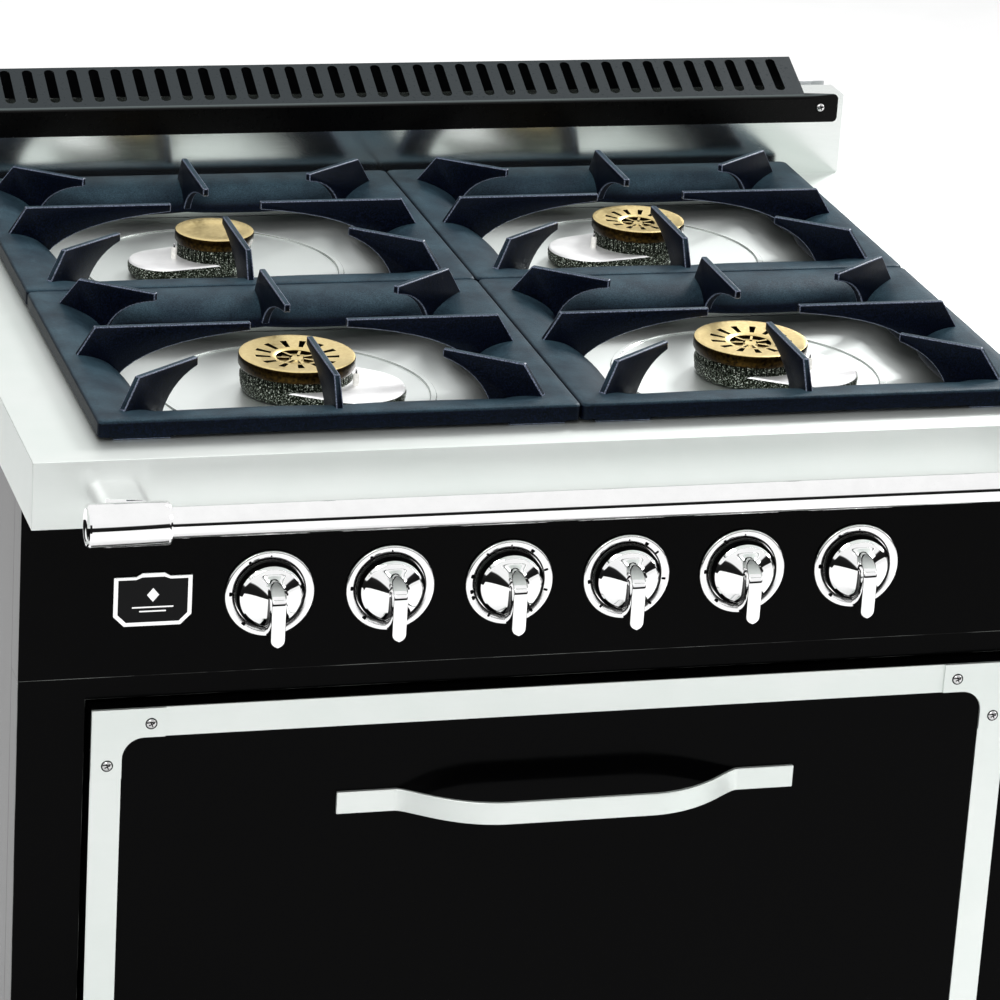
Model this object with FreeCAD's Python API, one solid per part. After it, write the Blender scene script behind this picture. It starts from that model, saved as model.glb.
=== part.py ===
"""Freestanding gas range: four burners, one oven, one storage drawer.

Millimetres, +Z up, +X to the right, the front faces -Y. The origin is on the floor,
at the middle of the whole object's outline. Each function makes one node of the range.
"""
import FreeCAD, Part
import math
import os

V = FreeCAD.Vector
X, Y, Z = V(1, 0, 0), V(0, 1, 0), V(0, 0, 1)
SIDES = (("left", -1), ("right", 1))

# ---- overall ----
width = 914.0              # outside of the cooktop
top_height = 914.0         # floor to the cooktop's surface
body_depth = 770.0         # fascia's face to the back panel's rear face
sheet = 1.5                # folded steel of the casing
seat_gap = 0.3             # between pieces that come apart by hand
edge_gap = 3.0             # round the door and the drawer
least_flat = 0.25          # half the straight run left between two full round ends
shaft_gap = 0.05           # radial, round a turning or sliding shaft

# ---- towel bar ----
bar_radius = 12.7
bar_standoff = 52.0        # fascia's face to the bar's axis
bar_drop = 34.0            # cooktop's surface down to the bar's axis
sleeve_radius = 17.5
sleeve_length = 65.0
sleeve_inset = 33.5        # range's side to the sleeve's end
bar_post_width = 46.0
bar_post_height = 22.0
sleeve_floor = 8.0         # solid end of the sleeve

# ---- cooktop ----
fascia_height = 56.6
fascia_overhang = 50.0     # the fascia stands this far out over the door
side_margin = 58.5         # range's side to the grates
front_margin = 41.3        # fascia's face to the grates
rear_margin = 11.4         # grates to the backguard
backguard_depth = 36.0
backguard_setback = 714.0 - 770.0   # backguard's face from the rear face
well_margin = 12.0         # grate's edge to the well's edge
well_depth = 22.0
well_radius = 25.0
pan_sheet = 1.0
pan_flange = 6.0
pan_ring_radius = 118.0
pan_ring_width = 5.0

# ---- backguard and its slotted cover ----
backguard_height = 78.0
cover_sheet = 2.0
cover_band_height = 27.5
cover_band_rise = 51.5     # cooktop's surface to the band's lower edge
cover_end_inset = 6.0      # range's side to the band's end
cover_corner = 5.0
cover_top_inset = 40.0     # range's side to the slotted top's end
cover_bend = 5.0           # depth of the bend between band and top
cover_lap = 0.7            # bend's underside below the band's upper edge
cover_rise = 21.0          # of the slotted top, front to rear
cover_rear_gap = 3.0       # slotted top's rear edge to the rear face
slot_pitch = 20.8
slot_width = 9.5
slot_end_margin = 2.5
cover_screw_inset = 23.5
cover_screw_rise = 66.0
screw_head_radius = 4.2
screw_head_height = 1.5
screw_shank_radius = 2.0
screw_shank_length = 6.0

# ---- grates ----
grate_gap = 1.0            # between neighbouring grates
grate_foot_height = 2.7
grate_top = 16.3           # rim's top above the cooktop
fin_top = 39.6             # pan-bearing height above the cooktop
fin_thickness = 6.0
rim_flat = 11.0
rim_border_x = 48.0
rim_border_y = 50.0
rim_inner_top = 5.0        # rim's height at the opening
fin_nose = 6.0
foot_length = 40.0
foot_width = 10.0

# ---- burners ----
cap_height = 11.0
spigot_gap = 0.5
casting_rise = 14.0        # casting's deck above the pan
spark_radius = 2.6
gas_tube_radius = 4.0
elbow_swell = 0.5          # elbows stand this far out over their tubes
# name, side, row (0 front, 1 rear), cap radius, cap top above cooktop, tail reach x and y
burners = (
    ("front_left", -1, 0, 49.0, 10.5, 42.0, -30.0),
    ("front_right", 1, 0, 49.0, 10.5, 42.0, -30.0),
    ("rear_left", -1, 1, 35.5, 14.5, -50.0, -14.0),
    ("rear_right", 1, 1, 42.6, 14.5, -50.0, -14.0),
)

# ---- control panel ----
panel_height = 149.2
panel_depth = 30.0
knob_count = 6
knob_pitch = 100.8
knob_drop = 82.2           # panel's top edge to the knobs' axis
bezel_radius = 37.2
bezel_thickness = 3.0
knob_radius = 28.5
knob_skirt = 6.0
knob_dome = 10.0
knob_neck_radius = 13.0
lever_width = 12.0
lever_above = 18.0
lever_below = 33.0
lever_back = 10.0          # lever's rear face in front of the bezel
lever_front = 34.7
stem_radius = 4.0
stem_reach = 32.0          # stem's end behind the panel's face
valve_size = 24.0
manifold_radius = 10.65
manifold_setback = 75.0    # panel's face to the manifold's axis
badge_width = 64.4
badge_height = 46.0
badge_thickness = 2.5
badge_inset = 76.6         # range's side to the badge
badge_drop = 59.4          # panel's top edge to the badge's top edge

# ---- oven door ----
post_width = 56.4
rail_height = 19.0
door_depth = 45.0
door_proud = 15.0          # the door and the drawer stand out from the panel's plane
door_sheet = 2.0
trim_sheet = 1.5
band_width = 25.5
band_radius = 18.0
corner_reach = 61.0
corner_screw_far = 49.0
corner_screw_near = 13.5
pivot_rise = 18.0          # door's lower edge to the hinge's axis
pivot_setback = 22.0       # door's front to the hinge's axis
pin_radius = 5.0
pin_reach = 18.0
pin_root = 20.0
plug_depth = 10.0
handle_length = 398.0
handle_tab = 49.0
handle_bend = 90.0
handle_height = 19.6
handle_thick = 4.0
handle_reach = 44.0
handle_shift = 8.0         # handle's middle, to the right of the door's
handle_lead_tab = 12.0     # how fast the bend leaves the tab and meets the grip
handle_lead_grip = 52.0
handle_drop = 84.6         # door's top edge to the handle's top edge

# ---- oven ----
oven_width = 670.0
oven_depth = 480.0
mouth_below = 60.0         # door's lower edge to the oven's floor
mouth_above = 38.0         # oven's roof to the door's upper edge
seal_width = 12.0
seal_thick = 4.5
insulation = 30.0
rack_count = 2
rack_rod = 3.0
rack_wire = 2.0
rack_wires = 13
guide_shelf = 16.0
guide_sheet = 1.5

# ---- drawer, base and legs ----
leg_height = 100.0
drawer_height = 101.0
drawer_gap = 11.0          # drawer's top edge to the door
drawer_face = 20.0
drawer_depth = 540.0
drawer_sheet = 1.5
drawer_inset = 84.0        # range's side to the drawer's tray
runner_slot = 20.0
leg_radius = 16.0
leg_foot_radius = 22.0
leg_foot_height = 12.0
leg_stud_radius = 6.0
leg_stud_length = 45.0
leg_inset = 32.0
socket_radius = 14.0
socket_height = 50.0

# ---- services at the rear ----
inlet_height = 190.0
inlet_inset = 42.0         # range's side to the gas pipe's axis
inlet_length = 20.0        # of the pipe end that takes the connector
inlet_neck = 4.0           # thinner run behind it
inlet_access = 15.0        # room for a fitting round the gas pipe
gland_inset = 77.0
gland_height = 180.0
gland_radius = 12.0

# ---- places that follow from the sizes above ----
fascia_y = (bar_standoff + sleeve_radius - body_depth) / 2
rear_y = fascia_y + body_depth
panel_y = fascia_y + fascia_overhang
door_y = panel_y - door_proud
backguard_y = rear_y + backguard_setback
half = width / 2
inner_half = half - 1.0                      # casing below the cooktop
panel_top = top_height - fascia_height
panel_bottom = panel_top - panel_height
knob_z = panel_top - knob_drop
knob_xs = [(i - (knob_count - 1) / 2) * knob_pitch for i in range(knob_count)]
cell_w = (width - 2 * side_margin) / 2
cell_d = (backguard_y - rear_margin - fascia_y - front_margin) / 2
cell_front = fascia_y + front_margin
door_half = half - post_width - edge_gap
door_top = panel_bottom - rail_height - edge_gap - 1
door_bottom = leg_height + edge_gap + drawer_height + drawer_gap
pivot_y = door_y + pivot_setback
pivot_z = door_bottom + pivot_rise
door_face = door_y + 2 * trim_sheet         # black panel, behind the bands and corners
door_back = door_y + door_depth
seal_back = panel_y + panel_depth + 5.0      # front flange of the oven
oven_floor_z = door_bottom + mouth_below
oven_roof_z = door_top - mouth_above
oven_half = oven_width / 2
rack_zs = [oven_floor_z + (i + 1) * (oven_roof_z - oven_floor_z) / (rack_count + 1)
           for i in range(rack_count)]
tray_half = half - drawer_inset
manifold_y = panel_y + manifold_setback
pipe_x = half - inlet_inset


# ---- shape helpers ----
def box(x0, x1, y0, y1, z0, z1):
    return Part.makeBox(x1 - x0, y1 - y0, z1 - z0, V(x0, y0, z0))


def rod(radius, start, end):
    """A cylinder from start to end."""
    return Part.makeCylinder(radius, (end - start).Length, start, end - start)


def fuse(shapes):
    first, *others = shapes
    return first.fuse(others).removeSplitter() if others else first


def group(shapes):
    return Part.makeCompound(shapes)


def rounded(u0, u1, v0, v1, radius, at):
    """A closed wire: a rectangle with round corners. at(u, v) gives each point in space."""
    k = radius * (1 - math.sqrt(0.5))
    corners = (
        ((u0, v0 + radius), (u0 + k, v0 + k), (u0 + radius, v0)),
        ((u1 - radius, v0), (u1 - k, v0 + k), (u1, v0 + radius)),
        ((u1, v1 - radius), (u1 - k, v1 - k), (u1 - radius, v1)),
        ((u0 + radius, v1), (u0 + k, v1 - k), (u0, v1 - radius)),
    )
    edges = []
    for i, (a, b, c) in enumerate(corners):
        following = corners[(i + 1) % 4][0]
        edges.append(Part.Arc(at(*a), at(*b), at(*c)).toShape())
        if (at(*c) - at(*following)).Length > 1e-6:
            edges.append(Part.LineSegment(at(*c), at(*following)).toShape())
    return Part.Wire(edges)


def flat_at(z):
    return lambda x, y: V(x, y, z)


def upright_at(y):
    return lambda x, z: V(x, y, z)


def slab(x0, x1, y0, y1, z0, z1, radius):
    """A plate with its vertical edges rounded."""
    wire = rounded(x0, x1, y0, y1, radius, flat_at(z0))
    return Part.Face(wire).extrude(V(0, 0, z1 - z0))


def plate(x0, x1, y0, y1, z0, z1, radius):
    """An upright plate with its front-to-back edges rounded."""
    wire = rounded(x0, x1, z0, z1, radius, upright_at(y0))
    return Part.Face(wire).extrude(V(0, y1 - y0, 0))


def prism(points, along):
    """A polygon, pushed along a vector."""
    return Part.Face(Part.makePolygon(points + points[:1])).extrude(along)


def pipe(radius, points, swell=0.0):
    """Straight runs of round bar, with a ball at each corner that may be a little larger."""
    runs = [rod(radius, a, b) for a, b in zip(points, points[1:])]
    balls = [Part.makeSphere(radius + swell, p) for p in points[1:-1]]
    return fuse(runs + balls)


def mirror_x(shape):
    return shape.mirror(V(0, 0, 0), X)


def both_sides(make):
    """One shape made for the right side, and its mirror for the left."""
    right = make()
    return [mirror_x(right), right]


# ---- casing ----
def side_panel(sign):
    outer, inner = sign * inner_half, sign * (inner_half - sheet)
    x0, x1 = min(outer, inner), max(outer, inner)
    skin = box(x0, x1, panel_y + panel_depth, rear_y - sheet, leg_height, panel_top)
    lip = sorted((outer, sign * (inner_half - 15)))
    y0 = panel_y + panel_depth
    flange = box(lip[0], lip[1], y0, y0 + sheet, leg_height, panel_bottom)
    return fuse([skin, flange])


def back_panel():
    top = top_height + backguard_height - sheet
    skin = box(-inner_half, inner_half, rear_y - sheet, rear_y, leg_height, top)
    crest = half - cover_top_inset
    crest_top = top_height + cover_band_rise + cover_band_height + cover_rise - cover_sheet
    skin = skin.fuse(box(-crest, crest, rear_y - sheet, rear_y, top, crest_top))
    pipe_hole = rod(manifold_radius + inlet_access, V(pipe_x, rear_y - 5, inlet_height),
                    V(pipe_x, rear_y + 5, inlet_height))
    gland_hole = rod(gland_radius - 3, V(-half + gland_inset, rear_y - 5, gland_height),
                     V(-half + gland_inset, rear_y + 5, gland_height))
    return skin.cut([pipe_hole, gland_hole]).removeSplitter()


def base_frame():
    y0, y1 = panel_y + panel_depth + 7, rear_y - sheet
    x1 = inner_half - sheet
    floor = box(-x1, x1, y0, y1, leg_height, leg_height + 2)
    flange = box(-x1, x1, y1 - sheet, y1, leg_height + 2, leg_height + 30)
    parts, bores = [floor, flange], []
    for x, y in leg_places():
        base = V(x, y, leg_height)
        parts.append(rod(socket_radius, base, base + V(0, 0, socket_height)))
        bores.append(rod(leg_stud_radius + shaft_gap, base - Z, base + V(0, 0, socket_height - 3)))
    return fuse(parts).cut(bores)


def leg_places():
    front = panel_y + panel_depth + 7 + leg_inset
    back = rear_y - sheet - leg_inset
    x = inner_half - sheet - leg_inset
    return [(-x, front), (x, front), (-x, back), (x, back)]


def leg(x, y):
    foot = Part.makeCylinder(leg_foot_radius, leg_foot_height, V(x, y, 0))
    foot = foot.makeChamfer(2, [foot.Edges[0]])
    column_top = leg_height - seat_gap
    column = Part.makeCone(leg_radius - 3, leg_radius, column_top - leg_foot_height,
                           V(x, y, leg_foot_height))
    stud = Part.makeCylinder(leg_stud_radius, leg_stud_length, V(x, y, column_top))
    return fuse([foot, column, stud])


def front_frame():
    """Two posts, the rail above the door and the rail behind the hinge."""
    x0, x1 = half - post_width, inner_half
    y0, y1 = panel_y, panel_y + panel_depth

    def post():
        outer = box(x0, x1, y0, y1, leg_height, panel_bottom)
        inner = box(x0 + sheet, x1 - sheet, y0 + sheet, y1 + 1,
                    leg_height + sheet, panel_bottom - sheet)
        return outer.cut(inner)

    rail = box(-x0, x0, y0, y1, panel_bottom - rail_height, panel_bottom)
    hollow = box(-x0, x0, y0 + sheet, y1 + 1,
                 panel_bottom - rail_height + sheet, panel_bottom - sheet)
    low_rail = box(-inner_half + sheet, inner_half - sheet, y1 + 10, y1 + 27,
                   door_bottom - 18, oven_floor_z - 26)
    legs = []
    for sign in (-1, 1):
        a, b = sorted((sign * (x0 + 5), sign * (x0 + 25)))
        legs.append(box(a, b, y1 - sheet, y1 + 27, door_bottom - 18, oven_floor_z - 26))
        legs.append(box(a, b, y1 - sheet, y1, leg_height + sheet, oven_floor_z - 26))
    pin = rod(pin_radius, V(-half, pivot_y, pivot_z), V(half, pivot_y, pivot_z))
    room = box(-x0 - pin_root, x0 + pin_root, y0, y1, door_bottom, door_top)
    return fuse(both_sides(post) + [rail.cut(hollow), low_rail] + legs).cut(pin.common(room))


def hinge_pins():
    x_post = half - post_width

    def pin():
        return rod(pin_radius, V(door_half - pin_reach, pivot_y, pivot_z),
                   V(x_post + pin_root, pivot_y, pivot_z))
    return group(both_sides(pin))


# ---- cooktop ----
def cell_centre(side, row):
    return side * cell_w / 2, cell_front + (row + 0.5) * cell_d


def cells():
    return [cell_centre(side, row) for row in (0, 1) for side in (-1, 1)]


def cooktop_frame():
    """Folded stainless top: surface, front fascia, side and rear skirts, four wells."""
    y1 = backguard_y + backguard_depth
    outer = box(-half, half, fascia_y, y1, panel_top, top_height)
    inner = box(-half + sheet, half - sheet, fascia_y + sheet, y1 - sheet,
                panel_top - 1, top_height - sheet)
    under = box(-half, half, fascia_y, panel_y + 10, panel_top, panel_top + sheet)
    wells = []
    for x, y in cells():
        w, d = cell_w / 2 - well_margin, cell_d / 2 - well_margin
        wells.append(slab(x - w, x + w, y - d, y + d, top_height - 5, top_height + 1, well_radius))
    flue_half = half - cover_top_inset
    flue = box(-flue_half, flue_half, backguard_y + sheet, y1 - sheet,
               top_height - 5, top_height + 1)
    return fuse([outer.cut(inner), under]).cut(wells + [flue])


def burner_pans():
    pans = []
    for x, y in cells():
        w, d = cell_w / 2 - well_margin, cell_d / 2 - well_margin
        lip_z = top_height - sheet
        floor_z = top_height - well_depth
        tub = slab(x - w, x + w, y - d, y + d, floor_z - pan_sheet, lip_z, well_radius)
        t = pan_sheet
        hollow = slab(x - w + t, x + w - t, y - d + t, y + d - t, floor_z, lip_z + 1,
                      well_radius - t)
        f = pan_flange
        lip = slab(x - w - f, x + w + f, y - d - f, y + d + f, lip_z - t, lip_z, well_radius + f)
        ring = Part.makeCylinder(pan_ring_radius, 1.5, V(x, y, floor_z))
        ring = ring.cut(Part.makeCylinder(pan_ring_radius - pan_ring_width, 3, V(x, y, floor_z - 1)))
        hole = Part.makeCylinder(gas_tube_radius + 1, 10, V(x, y, floor_z - 5))
        pans.append(fuse([tub.fuse(lip).cut(hollow), ring]).cut(hole))
    return group(pans)


def cover_screw_points():
    y = backguard_y - cover_sheet
    z = top_height + cover_screw_rise
    return [V(sign * (half - cover_screw_inset), y, z) for sign in (-1, 1)]


def cover_screw_holes():
    return [rod(screw_shank_radius, p - Y, p + 10 * Y) for p in cover_screw_points()]


def backguard():
    y0, y1 = backguard_y, backguard_y + backguard_depth
    z1 = top_height + backguard_height
    outer = box(-half, half, y0, y1, top_height, z1)
    hollow = box(-half + sheet, half - sheet, y0 + sheet, y1 - sheet, top_height - 1, z1 - sheet)
    flue_half = half - cover_top_inset
    flue = box(-flue_half, flue_half, y0 + sheet, y1 - sheet, z1 - 5, z1 + 1)
    return outer.cut([hollow, flue] + cover_screw_holes())


def vent_cover():
    """Front band, a bend, and a slotted top that climbs to the rear."""
    t = cover_sheet
    z0 = top_height + cover_band_rise
    z1 = z0 + cover_band_height
    y_front = backguard_y - t
    end = half - cover_end_inset
    band = plate(-end, end, y_front, backguard_y, z0, z1, cover_corner)
    top = half - cover_top_inset
    y_top, y_rear = backguard_y + cover_bend, rear_y - cover_rear_gap
    profile = [
        V(-top, y_front, z1 - t), V(-top, y_front, z1), V(-top, y_top, z1 + t),
        V(-top, y_rear, z1 + t + cover_rise), V(-top, y_rear, z1 + cover_rise),
        V(-top, y_top, z1), V(-top, backguard_y, z1 - cover_lap), V(-top, backguard_y, z1 - t),
    ]
    roof = prism(profile, V(2 * top, 0, 0))
    slope = math.atan2(cover_rise, y_rear - y_top)
    length = math.hypot(cover_rise, y_rear - y_top) - 2 * slot_end_margin
    slots = []
    count = int((2 * top - slot_width) / slot_pitch)
    for i in range(count):
        x = (i - (count - 1) / 2) * slot_pitch
        r = slot_width / 2
        cutter = slab(x - r, x + r, 0, length, -20, 20, r - least_flat)
        cutter.translate(V(0, slot_end_margin, 0))
        cutter.rotate(V(0, 0, 0), X, math.degrees(slope))
        cutter.translate(V(0, y_top, z1))
        slots.append(cutter)

    def cheek():
        lift = 0.5
        low = top_height + backguard_height
        outline = [V(top - t, y_top, low), V(top - t, y_rear - 1, low),
                   V(top - t, y_rear - 1, z1 + cover_rise + lift), V(top - t, y_top, z1 + lift)]
        return prism(outline, V(t, 0, 0))
    whole = fuse([band, roof.cut(slots)] + both_sides(cheek))
    return whole.cut(cover_screw_holes())


def screw(point, outward, shank):
    """A round-headed screw whose head sits at point and whose shank runs inwards."""
    head = rod(screw_head_radius, point, point + outward * screw_head_height)
    return fuse([head, rod(screw_shank_radius, point - outward * shank, point)])


def vent_cover_screws():
    return group([screw(p, -Y, screw_shank_length) for p in cover_screw_points()])


# ---- burners ----
def stadium(x, y, dx, dy, r_here, r_there, z0, z1):
    """The hull of two upright cylinders, dx and dy apart."""
    reach = math.hypot(dx, dy)
    heading = math.atan2(dy, dx)
    spread = math.acos((r_here - r_there) / reach)

    def point(cx, cy, radius, angle):
        a = heading + angle
        return V(cx + radius * math.cos(a), cy + radius * math.sin(a), z0)
    fx, fy = x + dx, y + dy
    here = [point(x, y, r_here, a) for a in (spread, math.pi, -spread)]
    there = [point(fx, fy, r_there, a) for a in (-spread, 0, spread)]
    edges = [Part.Arc(*here).toShape(), Part.LineSegment(here[2], there[0]).toShape(),
             Part.Arc(*there).toShape(), Part.LineSegment(there[2], here[0]).toShape()]
    return Part.Face(Part.Wire(edges)).extrude(V(0, 0, z1 - z0))


def burner_base(side, row, cap_radius, cap_top, tail_x, tail_y):
    x, y = cell_centre(side, row)
    floor_z = top_height - well_depth
    deck_z = floor_z + casting_rise
    seat_z = top_height + cap_top - cap_height - seat_gap
    casting = stadium(x, y, tail_x, tail_y, cap_radius - 2, cap_radius - 5, floor_z, deck_z)
    crown = Part.makeCylinder(cap_radius - 3, seat_z - deck_z, V(x, y, deck_z))
    spigot = Part.makeCylinder(cap_radius * 0.6, 4, V(x, y, seat_z))
    jet = Part.makeCylinder(cap_radius * 0.3, 10, V(x, y, seat_z - 5))
    spark_hole = rod(spark_radius, *spark_ends(side, row, cap_radius, tail_x, tail_y))
    return fuse([casting, crown, spigot]).cut([jet, spark_hole])


def spark_ends(side, row, cap_radius, tail_x, tail_y):
    """Foot and tip of a burner's spark electrode, just clear of its cap."""
    x, y = cell_centre(side, row)
    heading = math.atan2(tail_y, tail_x)
    away = cap_radius + spark_radius + 2
    px, py = x + away * math.cos(heading), y + away * math.sin(heading)
    foot = top_height - well_depth + casting_rise - 6
    return V(px, py, foot), V(px, py, top_height + 6)


def spark_electrodes():
    pieces = []
    for _, side, row, cap_radius, _, tail_x, tail_y in burners:
        pieces.append(rod(spark_radius, *spark_ends(side, row, cap_radius, tail_x, tail_y)))
    return group(pieces)


def burner_cap(side, row, cap_radius, cap_top):
    x, y = cell_centre(side, row)
    z0 = top_height + cap_top - cap_height
    cap = Part.makeCylinder(cap_radius, cap_height, V(x, y, z0))
    rims = [e for e in cap.Edges if e.BoundBox.ZLength < 0.1 and e.BoundBox.ZMin > z0 + 1]
    cap = cap.makeChamfer(1.5, rims)
    recess = Part.makeCylinder(cap_radius * 0.6 + spigot_gap, 4 + seat_gap, V(x, y, z0))
    return cap.cut(recess)


# ---- grates ----
def fin(x, y, angle, tip, outer_top, outer_base, inner):
    """A cast rib that points at the burner, arched underneath."""
    top, nose = top_height + fin_top, top_height + fin_top - fin_nose
    low, rim = top_height + rim_inner_top + 1, top_height + grate_top

    def at(r, z):
        return V(r, -fin_thickness / 2, z)
    arch = Part.Arc(at(inner, low), at((tip + inner) / 2, (low + nose) / 2 + 6), at(tip, nose))
    corners = [at(tip, nose), at(tip, top), at(outer_top, top), at(outer_base, rim - 1),
               at(outer_base, low), at(inner, low)]
    edges = [Part.LineSegment(a, b).toShape() for a, b in zip(corners, corners[1:])]
    rib = Part.Face(Part.Wire(edges + [arch.toShape()])).extrude(V(0, fin_thickness, 0))
    rib.rotate(V(0, 0, 0), Z, angle)
    rib.translate(V(x, y, 0))
    return rib


def grate(side, row):
    x, y = cell_centre(side, row)
    hw, hd = (cell_w - grate_gap) / 2, (cell_d - grate_gap) / 2
    z_low = top_height + seat_gap + grate_foot_height
    z_in, z_top = top_height + rim_inner_top, top_height + grate_top
    ow, od = hw - rim_border_x, hd - rim_border_y
    rim = slab(x - hw, x + hw, y - hd, y + hd, z_low, z_top, 4)
    well = slab(x - ow, x + ow, y - od, y + od, z_low - 1, z_in, 30)
    low_wire = rounded(x - ow, x + ow, y - od, y + od, 30, flat_at(z_in))
    fw, fd = hw - rim_flat, hd - rim_flat
    high_wire = rounded(x - fw, x + fw, y - fd, y + fd, 30, flat_at(z_top + 0.01))
    dish = Part.makeLoft([low_wire, high_wire], True)
    body = rim.cut([well, dish])
    ribs = []
    for angle, out in ((0, hw), (180, hw), (90, hd), (270, hd)):
        base = out - 12
        border = rim_border_x if out == hw else rim_border_y
        ribs.append(fin(x, y, angle, 42, base - 15, base, out - border))
    corner_angle = math.degrees(math.atan2(hd - 28, hw - 24))
    corner_base = math.hypot(hw - 24, hd - 28)
    for angle in (corner_angle, 180 - corner_angle, 180 + corner_angle, -corner_angle):
        ribs.append(fin(x, y, angle, corner_base - 90, corner_base - 18, corner_base,
                        corner_base - 44))
    feet = []
    for sx in (-1, 1):
        for sy in (-1, 1):
            fx = x + sx * (hw - foot_length / 2 - 6)
            fy = y + sy * (hd - foot_width / 2 - 1)
            feet.append(box(fx - foot_length / 2, fx + foot_length / 2, fy - foot_width / 2,
                            fy + foot_width / 2, top_height + seat_gap, z_low + 1))
    return fuse([body] + ribs + feet)


# ---- towel bar ----
def bar_axis():
    return fascia_y - bar_standoff, top_height - bar_drop


def towel_bar():
    y, z = bar_axis()
    reach = half - sleeve_inset - sleeve_floor
    return rod(bar_radius, V(-reach, y, z), V(reach, y, z))


def bar_bracket(sign):
    y, z = bar_axis()
    x_out, x_in = half - sleeve_inset, half - sleeve_inset - sleeve_length
    sleeve = rod(sleeve_radius, V(x_in, y, z), V(x_out, y, z))
    mid = (x_out + x_in) / 2
    w, h = bar_post_width / 2, bar_post_height / 2
    post = plate(mid - w, mid + w, y, fascia_y, z - h + 6, z + h + 6, h - least_flat)
    bracket = fuse([sleeve, post])
    bracket = bracket.cut(rod(bar_radius, V(x_in - 1, y, z), V(x_out - sleeve_floor, y, z)))
    return bracket if sign > 0 else mirror_x(bracket)


# ---- controls ----
def control_panel():
    outer = box(-inner_half, inner_half, panel_y, panel_y + panel_depth, panel_bottom, panel_top)
    t = sheet
    hollow = box(-inner_half + t, inner_half - t, panel_y + t, panel_y + panel_depth + 1,
                 panel_bottom + t, panel_top - t)
    holes = [rod(stem_radius + 1, V(x, panel_y - 1, knob_z), V(x, panel_y + 5, knob_z))
             for x in knob_xs]
    return outer.cut([hollow] + holes)


def knob_bezels():
    rings = []
    for x in knob_xs:
        ring = rod(bezel_radius, V(x, panel_y, knob_z), V(x, panel_y - bezel_thickness, knob_z))
        rims = [e for e in ring.Edges if e.BoundBox.YLength < 0.1 and e.BoundBox.YMin < panel_y - 1]
        ring = ring.makeChamfer(1.0, rims)
        hole = rod(stem_radius + 1, V(x, panel_y + 1, knob_z), V(x, panel_y - 9, knob_z))
        rings.append(ring.cut(hole))
    return group(rings)


def knob(x):
    """A round skirt, a domed centre and a lever that points down when off, on its stem."""
    back = panel_y - bezel_thickness - seat_gap
    skirt = rod(knob_radius, V(x, back, knob_z), V(x, back - knob_skirt, knob_z))
    dome = Part.makeCone(knob_radius - 3, knob_neck_radius, knob_dome,
                         V(x, back - knob_skirt, knob_z), -Y)
    w = lever_width / 2
    lever = plate(x - w, x + w, back - lever_front, back - lever_back,
                  knob_z - lever_below, knob_z + lever_above, w - least_flat)
    stem = rod(stem_radius, V(x, back, knob_z), V(x, panel_y + stem_reach, knob_z))
    return fuse([skirt, dome, lever, stem])


def gas_valves():
    """Each valve takes a knob's stem in front and sits on the manifold behind."""
    valves = []
    s = valve_size / 2
    main = rod(manifold_radius, V(-half, manifold_y, knob_z), V(half, manifold_y, knob_z))
    for x in knob_xs:
        body = box(x - s, x + s, panel_y + 8, manifold_y, knob_z - s, knob_z + s)
        bore = rod(stem_radius + shaft_gap, V(x, panel_y, knob_z),
                   V(x, panel_y + stem_reach + 2, knob_z))
        valves.append(body.cut([bore, main]))
    return group(valves)


def gas_manifold():
    """The main behind the valves, the pipe to the rear and the inlet with its neck."""
    y_drop = rear_y - inlet_length - inlet_neck - manifold_radius
    y_neck = rear_y - inlet_length - inlet_neck / 2
    run = pipe(manifold_radius, [
        V(knob_xs[0] - valve_size, manifold_y, knob_z), V(pipe_x, manifold_y, knob_z),
        V(pipe_x, y_drop, knob_z), V(pipe_x, y_drop, inlet_height),
        V(pipe_x, y_drop + 1, inlet_height)])
    neck = rod(manifold_radius - 1.5, V(pipe_x, y_drop, inlet_height),
               V(pipe_x, y_neck + inlet_neck, inlet_height))
    inlet = rod(manifold_radius, V(pipe_x, rear_y - inlet_length, inlet_height),
                V(pipe_x, rear_y, inlet_height))
    return fuse([run, neck, inlet])


def gas_tubes():
    """One tube from each of the four burner valves to its burner."""
    run_z = top_height - well_depth - 20
    start_y = panel_y + 50
    tubes = []
    for knob_x, (side, row) in zip((knob_xs[0], knob_xs[1], knob_xs[4], knob_xs[5]),
                                   ((-1, 0), (-1, 1), (1, 1), (1, 0))):
        x, y = cell_centre(side, row)
        tubes.append(pipe(gas_tube_radius, [
            V(knob_x, start_y, knob_z + valve_size / 2), V(knob_x, start_y, run_z),
            V(x, y, run_z), V(x, y, top_height - well_depth)], elbow_swell))
    return group(tubes)


def badge_plate():
    """A blank plate with a low crest on its upper edge and clipped lower corners."""
    x0 = -half + badge_inset
    x1 = x0 + badge_width
    z1 = panel_top - badge_drop
    z0 = z1 - badge_height
    clip, mid = 9.0, (x0 + x1) / 2
    y = panel_y - badge_thickness
    outline = [V(x0 + clip, y, z0), V(x1 - clip, y, z0), V(x1, y, z0 + clip), V(x1, y, z1 - 3),
               V(mid + 14, y, z1 - 3), V(mid + 9, y, z1), V(mid - 9, y, z1),
               V(mid - 14, y, z1 - 3), V(x0, y, z1 - 3), V(x0, y, z0 + clip)]
    return prism(outline, V(0, badge_thickness, 0))


# ---- oven door ----
def corner_screw_points():
    """Two screws in each corner plate, one along each arm."""
    points = []
    for sx in (-1, 1):
        for edge_z, sz in ((door_bottom, 1), (door_top, -1)):
            for dx, dz in ((corner_screw_far, corner_screw_near),
                           (corner_screw_near, corner_screw_far)):
                points.append(V(sx * (door_half - dx), door_y, edge_z + sz * dz))
    return points


def corner_screw_holes():
    return [rod(screw_shank_radius, p - Y, p + Y * (screw_shank_length + 1))
            for p in corner_screw_points()]


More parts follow.
